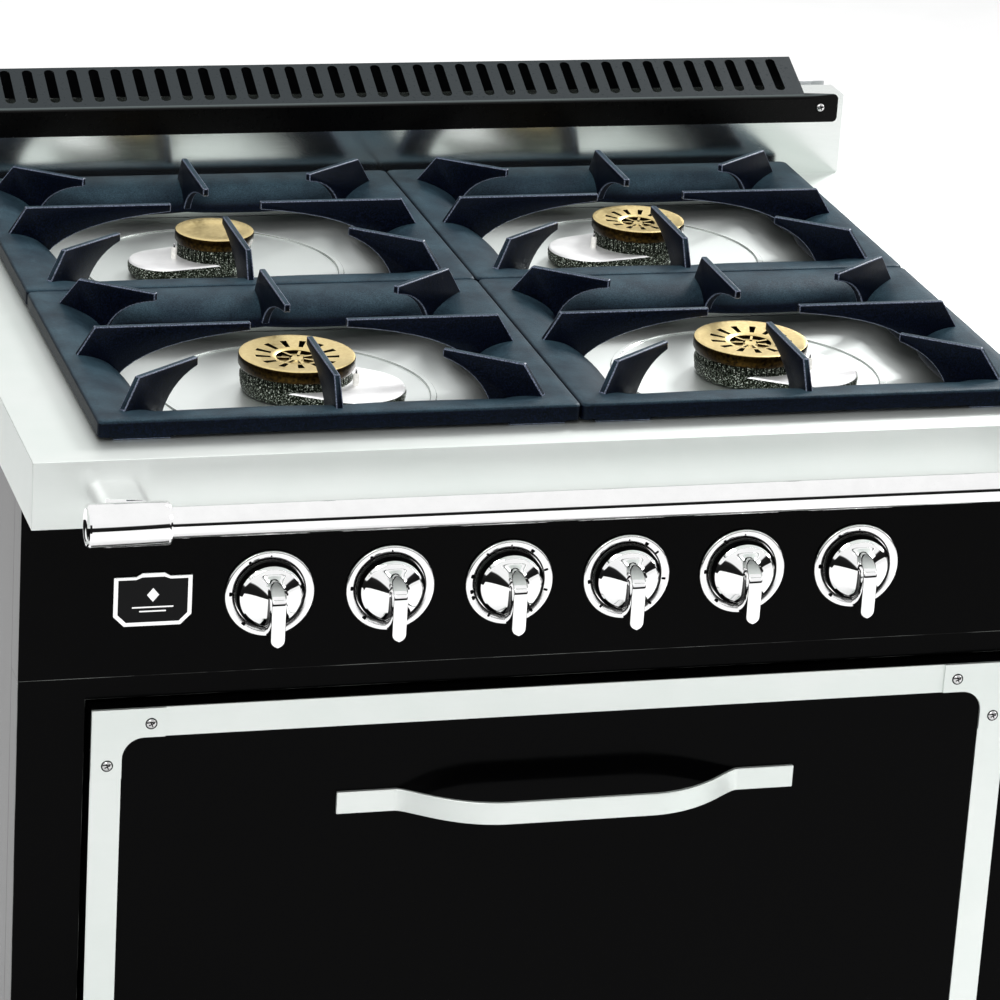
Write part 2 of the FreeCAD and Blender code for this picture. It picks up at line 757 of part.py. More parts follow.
def door_outer_panel():
    outer = box(-door_half, door_half, door_face, door_back - door_sheet, door_bottom, door_top)
    t = door_sheet
    hollow = box(-door_half + t, door_half - t, door_face + t, door_back + 1,
                 door_bottom + t, door_top - t)
    room = rod(pin_radius + 1, V(-half, pivot_y, pivot_z), V(half, pivot_y, pivot_z))
    return outer.cut([hollow, room] + corner_screw_holes())


def door_inner_panel():
    """The pressed liner of the door, with the two blocks that turn on the hinge pins."""
    t = door_sheet
    skin = box(-door_half, door_half, door_back - t, door_back, door_bottom, door_top)
    w, z0, z1 = oven_half - 12, oven_floor_z + 12, oven_roof_z - 12
    plug = plate(-w, w, door_back - t, door_back + plug_depth, z0, z1, 20)
    hollow = plate(-w + t, w - t, door_back - t - 1, door_back + plug_depth - t, z0 + t, z1 - t, 18)

    def block():
        x1 = door_half - t
        return box(x1 - pin_reach - 4, x1, door_face + t, door_back - t,
                   door_bottom + t, pivot_z + 14)
    bore = rod(pin_radius + shaft_gap, V(door_half - pin_reach - 1, pivot_y, pivot_z),
               V(half, pivot_y, pivot_z))
    bores = [mirror_x(bore), bore]
    return fuse([skin, plug] + both_sides(block)).cut([hollow] + bores)


def door_seal():
    """A soft ring round the oven's mouth, fixed to the oven's front flange."""
    gap, w = 7, seal_width
    x, z0, z1 = oven_half + gap, oven_floor_z - gap, oven_roof_z + gap
    outer = plate(-x - w, x + w, seal_back - seal_thick, seal_back, z0 - w, z1 + w, 30)
    inner = plate(-x, x, seal_back - seal_thick - 1, seal_back + 1, z0, z1, 18)
    return outer.cut(inner)


def door_banding():
    y0, y1 = door_y + trim_sheet, door_face
    outer = box(-door_half, door_half, y0, y1, door_bottom, door_top)
    b = band_width
    inner = plate(-door_half + b, door_half - b, y0 - 1, y1 + 1, door_bottom + b, door_top - b,
                  band_radius)
    return outer.cut([inner] + corner_screw_holes())


def door_corner_plates():
    y0, y1 = door_y, door_y + trim_sheet
    b, r = band_width, corner_reach
    frame = box(-door_half, door_half, y0, y1, door_bottom, door_top)
    window = plate(-door_half + b, door_half - b, y0 - 1, y1 + 1, door_bottom + b, door_top - b,
                   band_radius)
    frame = frame.cut([window] + corner_screw_holes())
    plates = []
    for sx in (-1, 1):
        x0, x1 = sorted((sx * door_half, sx * (door_half - r)))
        for z0, z1 in ((door_bottom, door_bottom + r), (door_top - r, door_top)):
            plates.append(frame.common(box(x0, x1, y0, y1, z0, z1)))
    return group(plates)


def door_screws():
    return group([screw(p, -Y, screw_shank_length) for p in corner_screw_points()])


def door_handle():
    """A flat strap: a tab at each end, an easy bend, and a straight middle to grip."""
    end, flat = handle_length / 2, handle_length / 2 - handle_tab
    grip = flat - handle_bend
    z1 = door_top - handle_drop

    def edge(offset):
        """The strap's rear (offset 0) or front line, seen from above, left to right."""
        y_tab = door_face - offset
        y_grip = door_face - handle_reach + handle_thick - offset
        tab = Part.LineSegment(V(-end, y_tab, z1), V(-flat, y_tab, z1)).toShape()
        curve = Part.BezierCurve()
        curve.setPoles([V(-flat, y_tab, z1), V(-flat + handle_lead_tab, y_tab, z1),
                        V(-grip - handle_lead_grip, y_grip, z1), V(-grip, y_grip, z1)])
        bend = curve.toShape()
        middle = Part.LineSegment(V(-grip, y_grip, z1), V(grip, y_grip, z1)).toShape()
        return [tab, bend, middle, mirror_x(bend), mirror_x(tab)], y_tab
    rear, y_rear = edge(0)
    front, y_front = edge(handle_thick)
    caps = [Part.LineSegment(V(s * end, y_rear, z1), V(s * end, y_front, z1)).toShape()
            for s in (-1, 1)]
    wire = Part.Wire(Part.__sortEdges__(rear + front + caps))
    strap = Part.Face(wire).extrude(V(0, 0, -handle_height))
    strap.translate(V(handle_shift, 0, 0))
    return strap


# ---- oven ----
def oven_back_y():
    return seal_back + oven_depth


def oven_liner():
    t = sheet
    y0, y1 = seal_back, oven_back_y()
    outer = box(-oven_half - t, oven_half + t, y0, y1 + t, oven_floor_z - t, oven_roof_z + t)
    hollow = box(-oven_half, oven_half, y0 - 1, y1, oven_floor_z, oven_roof_z)
    flange = box(-oven_half - 45, oven_half + 45, y0, y0 + t, oven_floor_z - 24, oven_roof_z + 30)
    slots = []
    for sign in (-1, 1):
        x = sign * (oven_half - 30)
        slots.append(box(x - 5, x + 5, y0 + 80, y1 - 80, oven_floor_z - 5, oven_floor_z + 5))
    return fuse([outer, flange]).cut([hollow] + slots)


def oven_insulation():
    """A blanket over the oven's roof, sides and rear; the burner is below the floor."""
    t, m = sheet, insulation
    y0, y1 = seal_back + 2 * t, oven_back_y() + t
    outer = box(-oven_half - t - m, oven_half + t + m, y0, y1 + m, oven_floor_z, oven_roof_z + t + m)
    core = box(-oven_half - t, oven_half + t, y0 - 1, y1, oven_floor_z - 1, oven_roof_z + t)
    return outer.cut(core)


def rack_guides():
    """A pair of folded shelves on each side wall for each rack."""
    y0, y1 = seal_back + 15, oven_back_y() - 5
    t, low = guide_sheet, rack_rod + seal_clear()

    def guide():
        wall = box(oven_half - t, oven_half, y0, y1, rack_zs[0] - 20, rack_zs[-1] + 20)
        shelves = []
        for z in rack_zs:
            for z0 in (z - low - t, z + low):
                shelves.append(box(oven_half - guide_shelf, oven_half - t, y0, y1, z0, z0 + t))
        return fuse([wall] + shelves)
    return group(both_sides(guide))


def seal_clear():
    """Room above and below a rack's rim in its guide."""
    return seat_gap


def oven_rack(z):
    x = oven_half - guide_sheet - rack_rod - 2
    y0, y1 = seal_back + 12 + rack_rod, oven_back_y() - 20
    corners = [V(-x, y0, z), V(x, y0, z), V(x, y1, z), V(-x, y1, z)]
    rim = pipe(rack_rod, corners + corners[:1]).fuse(Part.makeSphere(rack_rod, corners[0]))
    wires = []
    for i in range(rack_wires):
        wx = -x + (i + 1) * 2 * x / (rack_wires + 1)
        wires.append(rod(rack_wire, V(wx, y0, z), V(wx, y1, z)))
    return fuse([rim] + wires)


def oven_burner():
    """A straight tube burner below the oven's floor, on two hangers."""
    z = oven_floor_z - sheet - 22
    y0, y1 = seal_back + 60, oven_back_y() - 60
    tube = rod(12, V(0, y0, z), V(0, y1, z)).cut(rod(10, V(0, y0 + 3, z), V(0, y1 - 3, z)))
    hangers = []
    for y in (y0 + 20, y1 - 26):
        hangers.append(box(-10, 10, y, y + 6, z + 8, oven_floor_z - sheet))
    bore = rod(10, V(0, y0 + 3, z), V(0, y1 - 3, z))
    return fuse([tube] + hangers).cut(bore)


# ---- storage drawer ----
def drawer_front():
    z0, z1 = leg_height + edge_gap, leg_height + edge_gap + drawer_height - 1
    outer = box(-door_half, door_half, door_y, door_y + drawer_face, z0, z1)
    t = sheet
    hollow = box(-door_half + t, door_half - t, door_y + t, door_y + drawer_face + 1,
                 z0 + t, z1 - t)
    inner = box(-door_half + t, door_half - t, door_y + drawer_face - t, door_y + drawer_face,
                z0 + t, z1 - 22)
    return fuse([outer.cut(hollow), inner])


def drawer_tray():
    t = drawer_sheet
    y0 = door_y + drawer_face
    y1 = y0 + drawer_depth
    z0, z1 = leg_height + 10, leg_height + drawer_height - 15
    outer = box(-tray_half, tray_half, y0, y1, z0, z1)
    hollow = box(-tray_half + t, tray_half - t, y0 + t, y1 - t, z0 + t, z1 + 1)

    def strip():
        zc = runner_z()
        return box(tray_half - 0.5, tray_half + 12, y0 + 40, y1, zc - runner_slot / 2 + 1,
                   zc + runner_slot / 2 - 1)
    return fuse([outer] + both_sides(strip)).cut(hollow)


def runner_z():
    return leg_height + 60


def drawer_runners():
    """A folded channel on each side for the drawer's strips, standing on the base."""
    y0 = door_y + drawer_face + 45
    y1 = door_y + drawer_face + drawer_depth + 10
    t = 2.0

    def runner():
        x0 = tray_half + 14
        wall = box(x0, x0 + t, y0, y1, leg_height + t, runner_z() + runner_slot / 2 + t)
        low = box(tray_half + 2, x0, y0, y1, runner_z() - runner_slot / 2 - t,
                  runner_z() - runner_slot / 2)
        high = box(tray_half + 2, x0, y0, y1, runner_z() + runner_slot / 2,
                   runner_z() + runner_slot / 2 + t)
        return fuse([wall, low, high])
    return group(both_sides(runner))


# ---- rear service ----
def power_gland():
    """The bush that a supply lead would pass through, flush with the back panel."""
    x = -half + gland_inset
    z = gland_height
    bush = rod(gland_radius, V(x, rear_y - 20, z), V(x, rear_y - sheet, z))
    nose = rod(gland_radius - 3, V(x, rear_y - 3, z), V(x, rear_y, z))
    bore = rod(5, V(x, rear_y - 30, z), V(x, rear_y + 5, z))
    return fuse([bush, nose]).cut(bore)


# ---- the whole range ----
def nodes():
    made = {
        "back_panel": back_panel(), "base_frame": base_frame(), "front_frame": front_frame(),
        "hinge_pins": hinge_pins(), "cooktop_frame": cooktop_frame(),
        "burner_pans": burner_pans(), "backguard": backguard(), "vent_cover": vent_cover(),
        "vent_cover_screws": vent_cover_screws(), "spark_electrodes": spark_electrodes(),
        "towel_bar": towel_bar(), "control_panel": control_panel(),
        "knob_bezels": knob_bezels(), "gas_valves": gas_valves(),
        "gas_manifold": gas_manifold(), "gas_tubes": gas_tubes(), "badge_plate": badge_plate(),
        "door_outer_panel": door_outer_panel(), "door_inner_panel": door_inner_panel(),
        "door_seal": door_seal(), "door_banding": door_banding(),
        "door_corner_plates": door_corner_plates(), "door_screws": door_screws(),
        "door_handle": door_handle(), "oven_liner": oven_liner(),
        "oven_insulation": oven_insulation(), "rack_guides": rack_guides(),
        "oven_burner": oven_burner(), "drawer_front": drawer_front(),
        "drawer_tray": drawer_tray(), "drawer_runners": drawer_runners(),
        "power_gland": power_gland(),
    }
    for name, sign in SIDES:
        made["side_panel_" + name] = side_panel(sign)
        made["bar_bracket_" + name] = bar_bracket(sign)
    for name, side, row, cap_radius, cap_top, tail_x, tail_y in burners:
        made["burner_base_" + name] = burner_base(side, row, cap_radius, cap_top, tail_x, tail_y)
        made["burner_cap_" + name] = burner_cap(side, row, cap_radius, cap_top)
        made["grate_" + name] = grate(side, row)
    for i, x in enumerate(knob_xs):
        made[f"knob_{i + 1}"] = knob(x)
    for name, z in zip(("lower", "upper"), rack_zs):
        made["oven_rack_" + name] = oven_rack(z)
    for name, (x, y) in zip(("front_left", "front_right", "rear_left", "rear_right"),
                            leg_places()):
        made["leg_" + name] = leg(x, y)
    return made


os.makedirs("parts", exist_ok=True)
for node, shape in nodes().items():
    shape.exportStep(f"parts/{node}.step")
    print(f"{node}: {len(shape.Solids)} solids, {shape.Volume / 1000:.1f} cm3, valid {shape.isValid()}")
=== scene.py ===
"""Looks of the freestanding gas range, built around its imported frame. Everything is in metres."""
import bmesh
import bpy
import math
from mathutils import Matrix, Vector, noise


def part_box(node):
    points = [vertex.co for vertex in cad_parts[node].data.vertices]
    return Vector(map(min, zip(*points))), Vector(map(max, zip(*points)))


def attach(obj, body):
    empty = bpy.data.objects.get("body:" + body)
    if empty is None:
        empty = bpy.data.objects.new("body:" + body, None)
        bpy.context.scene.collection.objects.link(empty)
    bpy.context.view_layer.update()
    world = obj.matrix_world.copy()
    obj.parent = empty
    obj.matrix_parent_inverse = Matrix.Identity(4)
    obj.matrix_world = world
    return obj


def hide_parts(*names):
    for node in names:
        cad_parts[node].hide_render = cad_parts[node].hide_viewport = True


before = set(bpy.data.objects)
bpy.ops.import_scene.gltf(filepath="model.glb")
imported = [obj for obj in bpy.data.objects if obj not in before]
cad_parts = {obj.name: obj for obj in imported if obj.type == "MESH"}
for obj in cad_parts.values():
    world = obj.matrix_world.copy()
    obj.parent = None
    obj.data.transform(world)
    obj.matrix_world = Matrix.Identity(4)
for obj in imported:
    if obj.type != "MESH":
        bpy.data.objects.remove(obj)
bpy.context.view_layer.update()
MM = 0.001

# ---- places read from the frame ----
top_lo, top_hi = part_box("cooktop_frame")
fascia_y = top_lo.y
surface_z = top_hi.z
panel_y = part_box("control_panel")[0].y
# each quarter of the range has a burner, a grate and a leg
QUARTERS = ("front_left", "front_right", "rear_left", "rear_right")
KNOBS = tuple(f"knob_{i}" for i in range(1, 7))


# ---- materials ----
class Shader:
    """A node material under construction, with short names for what repeats."""

    def __init__(self, name):
        self.mat = bpy.data.materials.new(name)
        self.mat.use_nodes = True
        self.nodes = self.mat.node_tree.nodes
        self.links = self.mat.node_tree.links
        self.bsdf = self.nodes["Principled BSDF"]
        self.place = self.nodes.new("ShaderNodeTexCoord").outputs["Object"]

    def set(self, **values):
        for key, value in values.items():
            self.bsdf.inputs[key.replace("_", " ")].default_value = value
        return self

    def stretched(self, x, y, z):
        """The object's own coordinates, in millimetres, scaled along each axis."""
        mapping = self.nodes.new("ShaderNodeMapping")
        mapping.inputs["Scale"].default_value = (1000 * x, 1000 * y, 1000 * z)
        self.links.new(self.place, mapping.inputs["Vector"])
        return mapping.outputs["Vector"]

    def noise(self, scale, detail=2.0, roughness=0.5, where=None):
        tex = self.nodes.new("ShaderNodeTexNoise")
        tex.inputs["Scale"].default_value = scale
        tex.inputs["Detail"].default_value = detail
        tex.inputs["Roughness"].default_value = roughness
        self.links.new(where or self.stretched(1, 1, 1), tex.inputs["Vector"])
        return tex.outputs["Fac"]

    def cells(self, scale, output="Distance"):
        tex = self.nodes.new("ShaderNodeTexVoronoi")
        tex.inputs["Scale"].default_value = scale
        self.links.new(self.stretched(1, 1, 1), tex.inputs["Vector"])
        return tex.outputs[output]

    def ramp(self, factor, *stops):
        """Stops are (position, colour) with a colour of one or three numbers."""
        node = self.nodes.new("ShaderNodeValToRGB")
        elements = node.color_ramp.elements
        while len(elements) < len(stops):
            elements.new(0.5)
        for element, (position, colour) in zip(elements, stops):
            rgb = colour if hasattr(colour, "__len__") else (colour, colour, colour)
            element.position = position
            element.color = (*rgb, 1.0)
        self.links.new(factor, node.inputs["Fac"])
        return node.outputs["Color"]

    def mix(self, factor, a, b):
        node = self.nodes.new("ShaderNodeMix")
        node.data_type = "RGBA"
        self.links.new(factor, node.inputs["Factor"])
        self.links.new(a, node.inputs["A"])
        self.links.new(b, node.inputs["B"])
        return node.outputs["Result"]

    def colour(self, source):
        self.links.new(source, self.bsdf.inputs["Base Color"])
        return self

    def roughness(self, source):
        self.links.new(source, self.bsdf.inputs["Roughness"])
        return self

    def bump(self, source, strength, depth_mm):
        node = self.nodes.new("ShaderNodeBump")
        node.inputs["Strength"].default_value = strength
        node.inputs["Distance"].default_value = depth_mm * MM
        last = self.bsdf.inputs["Normal"].links
        if last:
            self.links.new(last[0].from_socket, node.inputs["Normal"])
        self.links.new(source, node.inputs["Height"])
        self.links.new(node.outputs["Normal"], self.bsdf.inputs["Normal"])
        return self

    def upward(self):
        """How much a face looks up, from 0 to 1."""
        geometry = self.nodes.new("ShaderNodeNewGeometry")
        split = self.nodes.new("ShaderNodeSeparateXYZ")
        self.links.new(geometry.outputs["Normal"], split.inputs["Vector"])
        return split.outputs["Z"]


def brushed(name, light=0.78, rough=(0.46, 0.54)):
    """Stainless sheet with a fine grain that runs from side to side."""
    s = Shader(name).set(Metallic=1.0)
    lines = s.noise(3.0, 4.0, 0.65, s.stretched(0.012, 0.6, 0.6))
    clouds = s.noise(0.006, 3.0, 0.6)
    s.colour(s.ramp(clouds, (0.30, (light - 0.05, light, light - 0.03)),
                    (0.70, (light + 0.02, light + 0.05, light + 0.03))))
    s.roughness(s.ramp(lines, (0.30, rough[0]), (0.72, rough[1])))
    return s.bump(lines, 0.04, 0.05).mat


def chrome(name, tint=0.90, rough=0.02):
    """Plated or polished steel with a faint haze."""
    s = Shader(name).set(Metallic=1.0)
    haze = s.noise(0.05, 3.0, 0.6)
    s.colour(s.ramp(haze, (0.3, tint - 0.03), (0.7, tint + 0.02)))
    return s.roughness(s.ramp(haze, (0.35, rough), (0.75, rough + 0.03))).mat


def enamel(name, colour, rough, ripple=0.05, shine=0.06):
    """Fired enamel: nearly one colour, a faint ripple, a hard gloss."""
    s = Shader(name).set(Specular_IOR_Level=shine)
    dust = s.noise(0.9, 4.0, 0.7)
    lifted = tuple(c * 1.6 + 0.0004 for c in colour)
    s.colour(s.ramp(dust, (0.35, colour), (0.85, lifted)))
    s.roughness(s.ramp(s.noise(0.02, 2.0), (0.3, rough), (0.8, rough + 0.06)))
    return s.bump(s.noise(0.12, 2.0), ripple, 0.4).mat


def cast_iron():
    """Matt enamel over sand casting: slate tops as painted light, black sides as painted shade, and
    a pebbled skin.
    """
    s = Shader("cast_iron").set(Specular_IOR_Level=0.10, Specular_Tint=(0.6, 0.8, 1.0, 1.0))
    grit = s.noise(0.9, 3.0, 0.7)
    broad = s.noise(0.03, 3.0, 0.6)
    # faces that look up take the lit slate colour as painted light, the sides a near black as
    # painted shade
    up = s.ramp(s.upward(), (0.40, 0.0), (1.0, 1.0))
    side = s.ramp(grit, (0.45, (0.0003, 0.0004, 0.0010)), (0.70, (0.004, 0.007, 0.022)))
    lit_slate = s.mix(s.ramp(grit, (0.38, 0.0), (0.62, 1.0)),
                  s.ramp(broad, (0.35, (0.007, 0.014, 0.022)), (0.70, (0.016, 0.034, 0.046))),
                  s.ramp(broad, (0.35, (0.022, 0.042, 0.058)), (0.70, (0.042, 0.080, 0.104))))
    s.colour(s.mix(up, side, lit_slate))
    s.roughness(s.ramp(grit, (0.30, 0.36), (0.75, 0.54)))
    return s.bump(grit, 0.35, 0.35).bump(s.noise(0.25, 2.0), 0.15, 0.8).mat


def painted_edge_highlight(name, dark, light, scale=0.9, rough=0.35):
    """A painted highlight on the rounded edges of a dark casting or of an enamelled sheet."""
    s = Shader(name).set(Specular_IOR_Level=0.3)
    highlight_patches = s.noise(scale, 3.0, 0.6)
    s.colour(s.ramp(highlight_patches, (0.42, dark), (0.62, light)))
    s.roughness(s.ramp(highlight_patches, (0.3, rough), (0.7, rough + 0.1)))
    return s.bump(highlight_patches, 0.1, 0.1).mat


def turned_brass():
    """Brass that looks up is bright; its sides are painted dark brown as painted shade."""
    s = Shader("turned_brass").set(Metallic=1.0)
    spots = s.noise(0.35, 4.0, 0.6)
    shine = s.ramp(spots, (0.25, (0.70, 0.53, 0.22)), (0.75, (0.84, 0.70, 0.36)))
    shaded_brown = s.ramp(spots, (0.35, (0.003, 0.002, 0.001)), (0.75, (0.05, 0.028, 0.006)))
    # the sides are painted dark brown as painted shade
    s.colour(s.mix(s.ramp(s.upward(), (0.35, 0.0), (0.85, 1.0)), shaded_brown, shine))
    s.roughness(s.ramp(spots, (0.3, 0.30), (0.8, 0.46)))
    return s.bump(s.noise(2.2, 2.0), 0.12, 0.1).mat


def machined_aluminium():
    """The pale flat deck of a burner."""
    s = Shader("machined_aluminium").set(Metallic=1.0)
    clouds = s.noise(0.08, 3.0, 0.6)
    s.colour(s.ramp(clouds, (0.3, 0.88), (0.8, 0.95)))
    s.roughness(s.ramp(clouds, (0.3, 0.50), (0.7, 0.58)))
    return s.bump(s.noise(1.6, 2.0), 0.1, 0.1).mat


def sand_cast_aluminium():
    """Rough casting with black pits between bright grains."""
    s = Shader("sand_cast_aluminium").set(Metallic=1.0)
    pits = s.noise(0.75, 3.0, 0.75)
    s.colour(s.ramp(pits, (0.50, (0.004, 0.006, 0.003)), (0.58, (0.10, 0.12, 0.09)),
                    (0.66, (0.80, 0.85, 0.78))))
    s.roughness(s.ramp(pits, (0.3, 0.60), (0.7, 0.38)))
    return s.bump(pits, 0.9, 1.4).mat


def folded_satin():
    """Satin black sheet, painted paler where it looks up as painted light, most of all along its
    fold as a painted highlight.
    """
    s = Shader("cover_satin").set(Specular_IOR_Level=0.12)
    # colour by how far the face looks up: painted light on the top, a painted highlight along the
    # fold
    s.colour(s.ramp(s.upward(), (0.0, 0.0005), (0.45, 0.0008), (0.78, (0.11, 0.13, 0.13)),
                    (0.88, (0.024, 0.030, 0.033)), (0.97, (0.024, 0.030, 0.033)),
                    (0.99, (0.09, 0.11, 0.11))))
    s.roughness(s.ramp(s.noise(0.3, 3.0), (0.3, 0.26), (0.8, 0.36)))
    return s.bump(s.noise(0.12, 2.0), 0.1, 0.3).mat


def pressed_pan():
    """Stainless pan: a satin floor and brighter, mirror-like walls, though the walls' colour is
    painted darker as painted shade.
    """
    s = Shader("pressed_pan").set(Metallic=1.0)
    flat = s.upward()
    clouds = s.noise(0.01, 3.0, 0.6)
    # the walls' colour is painted darker as painted shade; the floor stays pale
    s.colour(s.mix(s.ramp(flat, (0.93, 0.0), (0.99, 1.0)),
                   s.ramp(clouds, (0.3, (0.46, 0.49, 0.47)), (0.7, (0.56, 0.60, 0.57))),
                   s.ramp(clouds, (0.3, (0.84, 0.88, 0.86)), (0.7, (0.88, 0.92, 0.90)))))
    s.roughness(s.ramp(flat, (0.93, 0.10), (0.99, 0.44)))
    return s.bump(s.noise(2.0, 2.0), 0.03, 0.05).mat


def speckled_enamel():
    """Oven enamel: deep blue-grey with small pale specks."""
    s = Shader("oven_enamel").set(Specular_IOR_Level=0.5)
    speck = s.ramp(s.cells(0.55), (0.06, 1.0), (0.13, 0.0))
    s.colour(s.mix(speck, s.ramp(s.noise(0.05), (0.3, (0.010, 0.013, 0.024)),
                                 (0.8, (0.020, 0.024, 0.040))),
                   s.ramp(s.noise(0.5), (0.3, (0.25, 0.27, 0.32)), (0.7, (0.45, 0.47, 0.52)))))
    s.roughness(s.ramp(s.noise(0.2), (0.3, 0.18), (0.8, 0.32)))
    return s.bump(s.noise(0.3), 0.08, 0.3).mat


def zinc():
    """Galvanised sheet with its spangle."""
    s = Shader("galvanised").set(Metallic=1.0)
    spangle = s.cells(0.09, output="Color")
    s.colour(s.ramp(spangle, (0.2, (0.42, 0.44, 0.45)), (0.8, (0.62, 0.64, 0.65))))
    s.roughness(s.ramp(spangle, (0.2, 0.35), (0.8, 0.55)))
    return s.bump(spangle, 0.05, 0.1).mat


def matt(name, colour, rough=0.6, grain=0.5, depth=0.3, metallic=0.0):
    """Rubber, plastic, ceramic, wool or black pipe: a grained surface with one tone."""
    s = Shader(name).set(Metallic=metallic)
    spots = s.noise(grain, 4.0, 0.65)
    s.colour(s.ramp(spots, (0.3, tuple(c * 0.8 for c in colour)),
                    (0.8, tuple(min(1.0, c * 1.15) for c in colour))))
    s.roughness(s.ramp(spots, (0.3, rough - 0.08), (0.8, rough + 0.08)))
    return s.bump(spots, 0.3, depth).mat


steel = brushed("stainless")
back_steel = brushed("stainless_backguard", 0.80, (0.15, 0.21))
pan_steel = pressed_pan()
polished = chrome("polished_chrome", 0.94)
satin_chrome = chrome("satin_chrome", 0.86, 0.16)
screw_steel = chrome("screw_steel", 0.55, 0.12)
black_gloss = enamel("black_gloss_enamel", (0.0004, 0.0004, 0.0005), 0.09, 0.05, 0.035)
black_satin = enamel("black_satin_enamel", (0.0010, 0.0012, 0.0016), 0.28, 0.1, 0.12)
cover_satin = folded_satin()
# paler materials for rounded edges: painted highlights
cover_edge_highlight = painted_edge_highlight("cover_edge_highlight", (0.035, 0.042, 0.044), (0.10, 0.12, 0.12), 0.3)
iron = cast_iron()
iron_edge_highlight = painted_edge_highlight("cast_iron_edge_highlight", (0.035, 0.045, 0.070), (0.16, 0.19, 0.27))
enamel_edge_highlight = painted_edge_highlight("enamel_edge_highlight", (0.001, 0.001, 0.001), (0.16, 0.17, 0.16), 0.016, 0.2)
brass = turned_brass()
deck_metal = machined_aluminium()
cast_metal = sand_cast_aluminium()
oven_enamel = speckled_enamel()
galvanised = zinc()
ceramic = matt("white_ceramic", (0.86, 0.85, 0.80), 0.35, 0.4, 0.05)
wool = matt("glass_wool", (0.74, 0.68, 0.46), 0.95, 0.25, 1.5)
rubber = matt("seal_rubber", (0.030, 0.030, 0.032), 0.7)
plastic = matt("black_plastic", (0.025, 0.025, 0.026), 0.5)
black_pipe = matt("black_pipe", (0.045, 0.045, 0.05), 0.45, metallic=0.6)
# dark for the bezels' printed marks, and painted shade in the cap slots, the screw recesses, round
# the screw heads and on the knobs' skirts
mark_and_painted_shade = enamel("mark_and_painted_shade", (0.0005, 0.0005, 0.0006), 0.4, 0.05, 0.02)


# ---- mesh helpers ----
TINY = 1e-5                # radius of the loop that closes the end of a turned shape
ROUNDED_FROM = 32          # degrees between faces from which an edge is rounded
SHARP_FROM = 40            # and from which it is shaded as sharp


def circle(radius, count):
    step = 2 * math.pi / count
    return [(radius * math.cos(i * step), radius * math.sin(i * step)) for i in range(count)]


def turned(outline, angle):
    """The outline turned about the origin."""
    c, s = math.cos(angle), math.sin(angle)
    return [(c * u - s * v, s * u + c * v) for u, v in outline]


def middle(node):
    """The middle of a node's box."""
    lo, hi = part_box(node)
    return (lo.x + hi.x) / 2, (lo.y + hi.y) / 2, (lo.z + hi.z) / 2


def add_loops(bm, loops, ring=False, material=0):
    """Skins loops with the same count of points, and closes both ends or joins them in a ring."""
    rows = [[bm.verts.new(p) for p in loop] for loop in loops]
    pairs = list(zip(rows, rows[1:])) + ([(rows[-1], rows[0])] if ring else [])
    count = len(rows[0])
    for low, high in pairs:
        for i in range(count):
            j = (i + 1) % count
            bm.faces.new((low[i], low[j], high[j], high[i])).material_index = material
    if not ring:
        bm.faces.new(list(reversed(rows[0]))).material_index = material
        bm.faces.new(rows[-1]).material_index = material
    return rows


def add_lathe(bm, profile, count=64, material=0):
    """Turns (radius, height) points about the local Z. A radius of 0 closes an end."""
    loops = []
    for radius, z in profile:
        loops.append([(x, y, z) for x, y in circle(max(radius, TINY), count)])
    return add_loops(bm, loops, material=material)


def add_prism(bm, outline, z0, z1, material=0):
    """A flat outline pushed from z0 to z1."""
    return add_loops(bm, [[(x, y, z0) for x, y in outline], [(x, y, z1) for x, y in outline]],
                     material=material)


def rounded_rectangle(hx, hy, radius, side=1, corner=6):
    """Points of a rectangle with round corners, anticlockwise from the right side's middle."""
    points = []
    centres = ((hx - radius, hy - radius), (radius - hx, hy - radius),
               (radius - hx, radius - hy), (hx - radius, radius - hy))
    for quarter, (cx, cy) in enumerate(centres):
        for i in range(corner + 1):
            a = math.radians(90 * (quarter + i / corner))
            points.append((cx + radius * math.cos(a), cy + radius * math.sin(a)))
        nx, ny = centres[(quarter + 1) % 4]
        a = math.radians(90 * (quarter + 1))
        ax, ay = cx + radius * math.cos(a), cy + radius * math.sin(a)
        bx, by = nx + radius * math.cos(a), ny + radius * math.sin(a)
        for i in range(1, side):
            points.append((ax + (bx - ax) * i / side, ay + (by - ay) * i / side))
    return points


FACING_FRONT = Matrix.Rotation(math.radians(90), 4, "X")   # local +Z comes out of the front


def absorb(bm, part, place):
    """Puts a small part in its place and adds it to a larger mesh."""
    part.transform(place)
    shape = bpy.data.meshes.new("part")
    part.to_mesh(shape)
    part.free()
    bm.from_mesh(shape)
    bpy.data.meshes.remove(shape)


def link(name, bm, materials):
    """Makes a scene object from a mesh under construction."""
    bmesh.ops.recalc_face_normals(bm, faces=bm.faces)
    mesh = bpy.data.meshes.new(name)
    bm.to_mesh(mesh)
    bm.free()
    for mat in materials:
        mesh.materials.append(mat)
    piece = bpy.data.objects.new(name, mesh)
    bpy.context.scene.collection.objects.link(piece)
    return piece


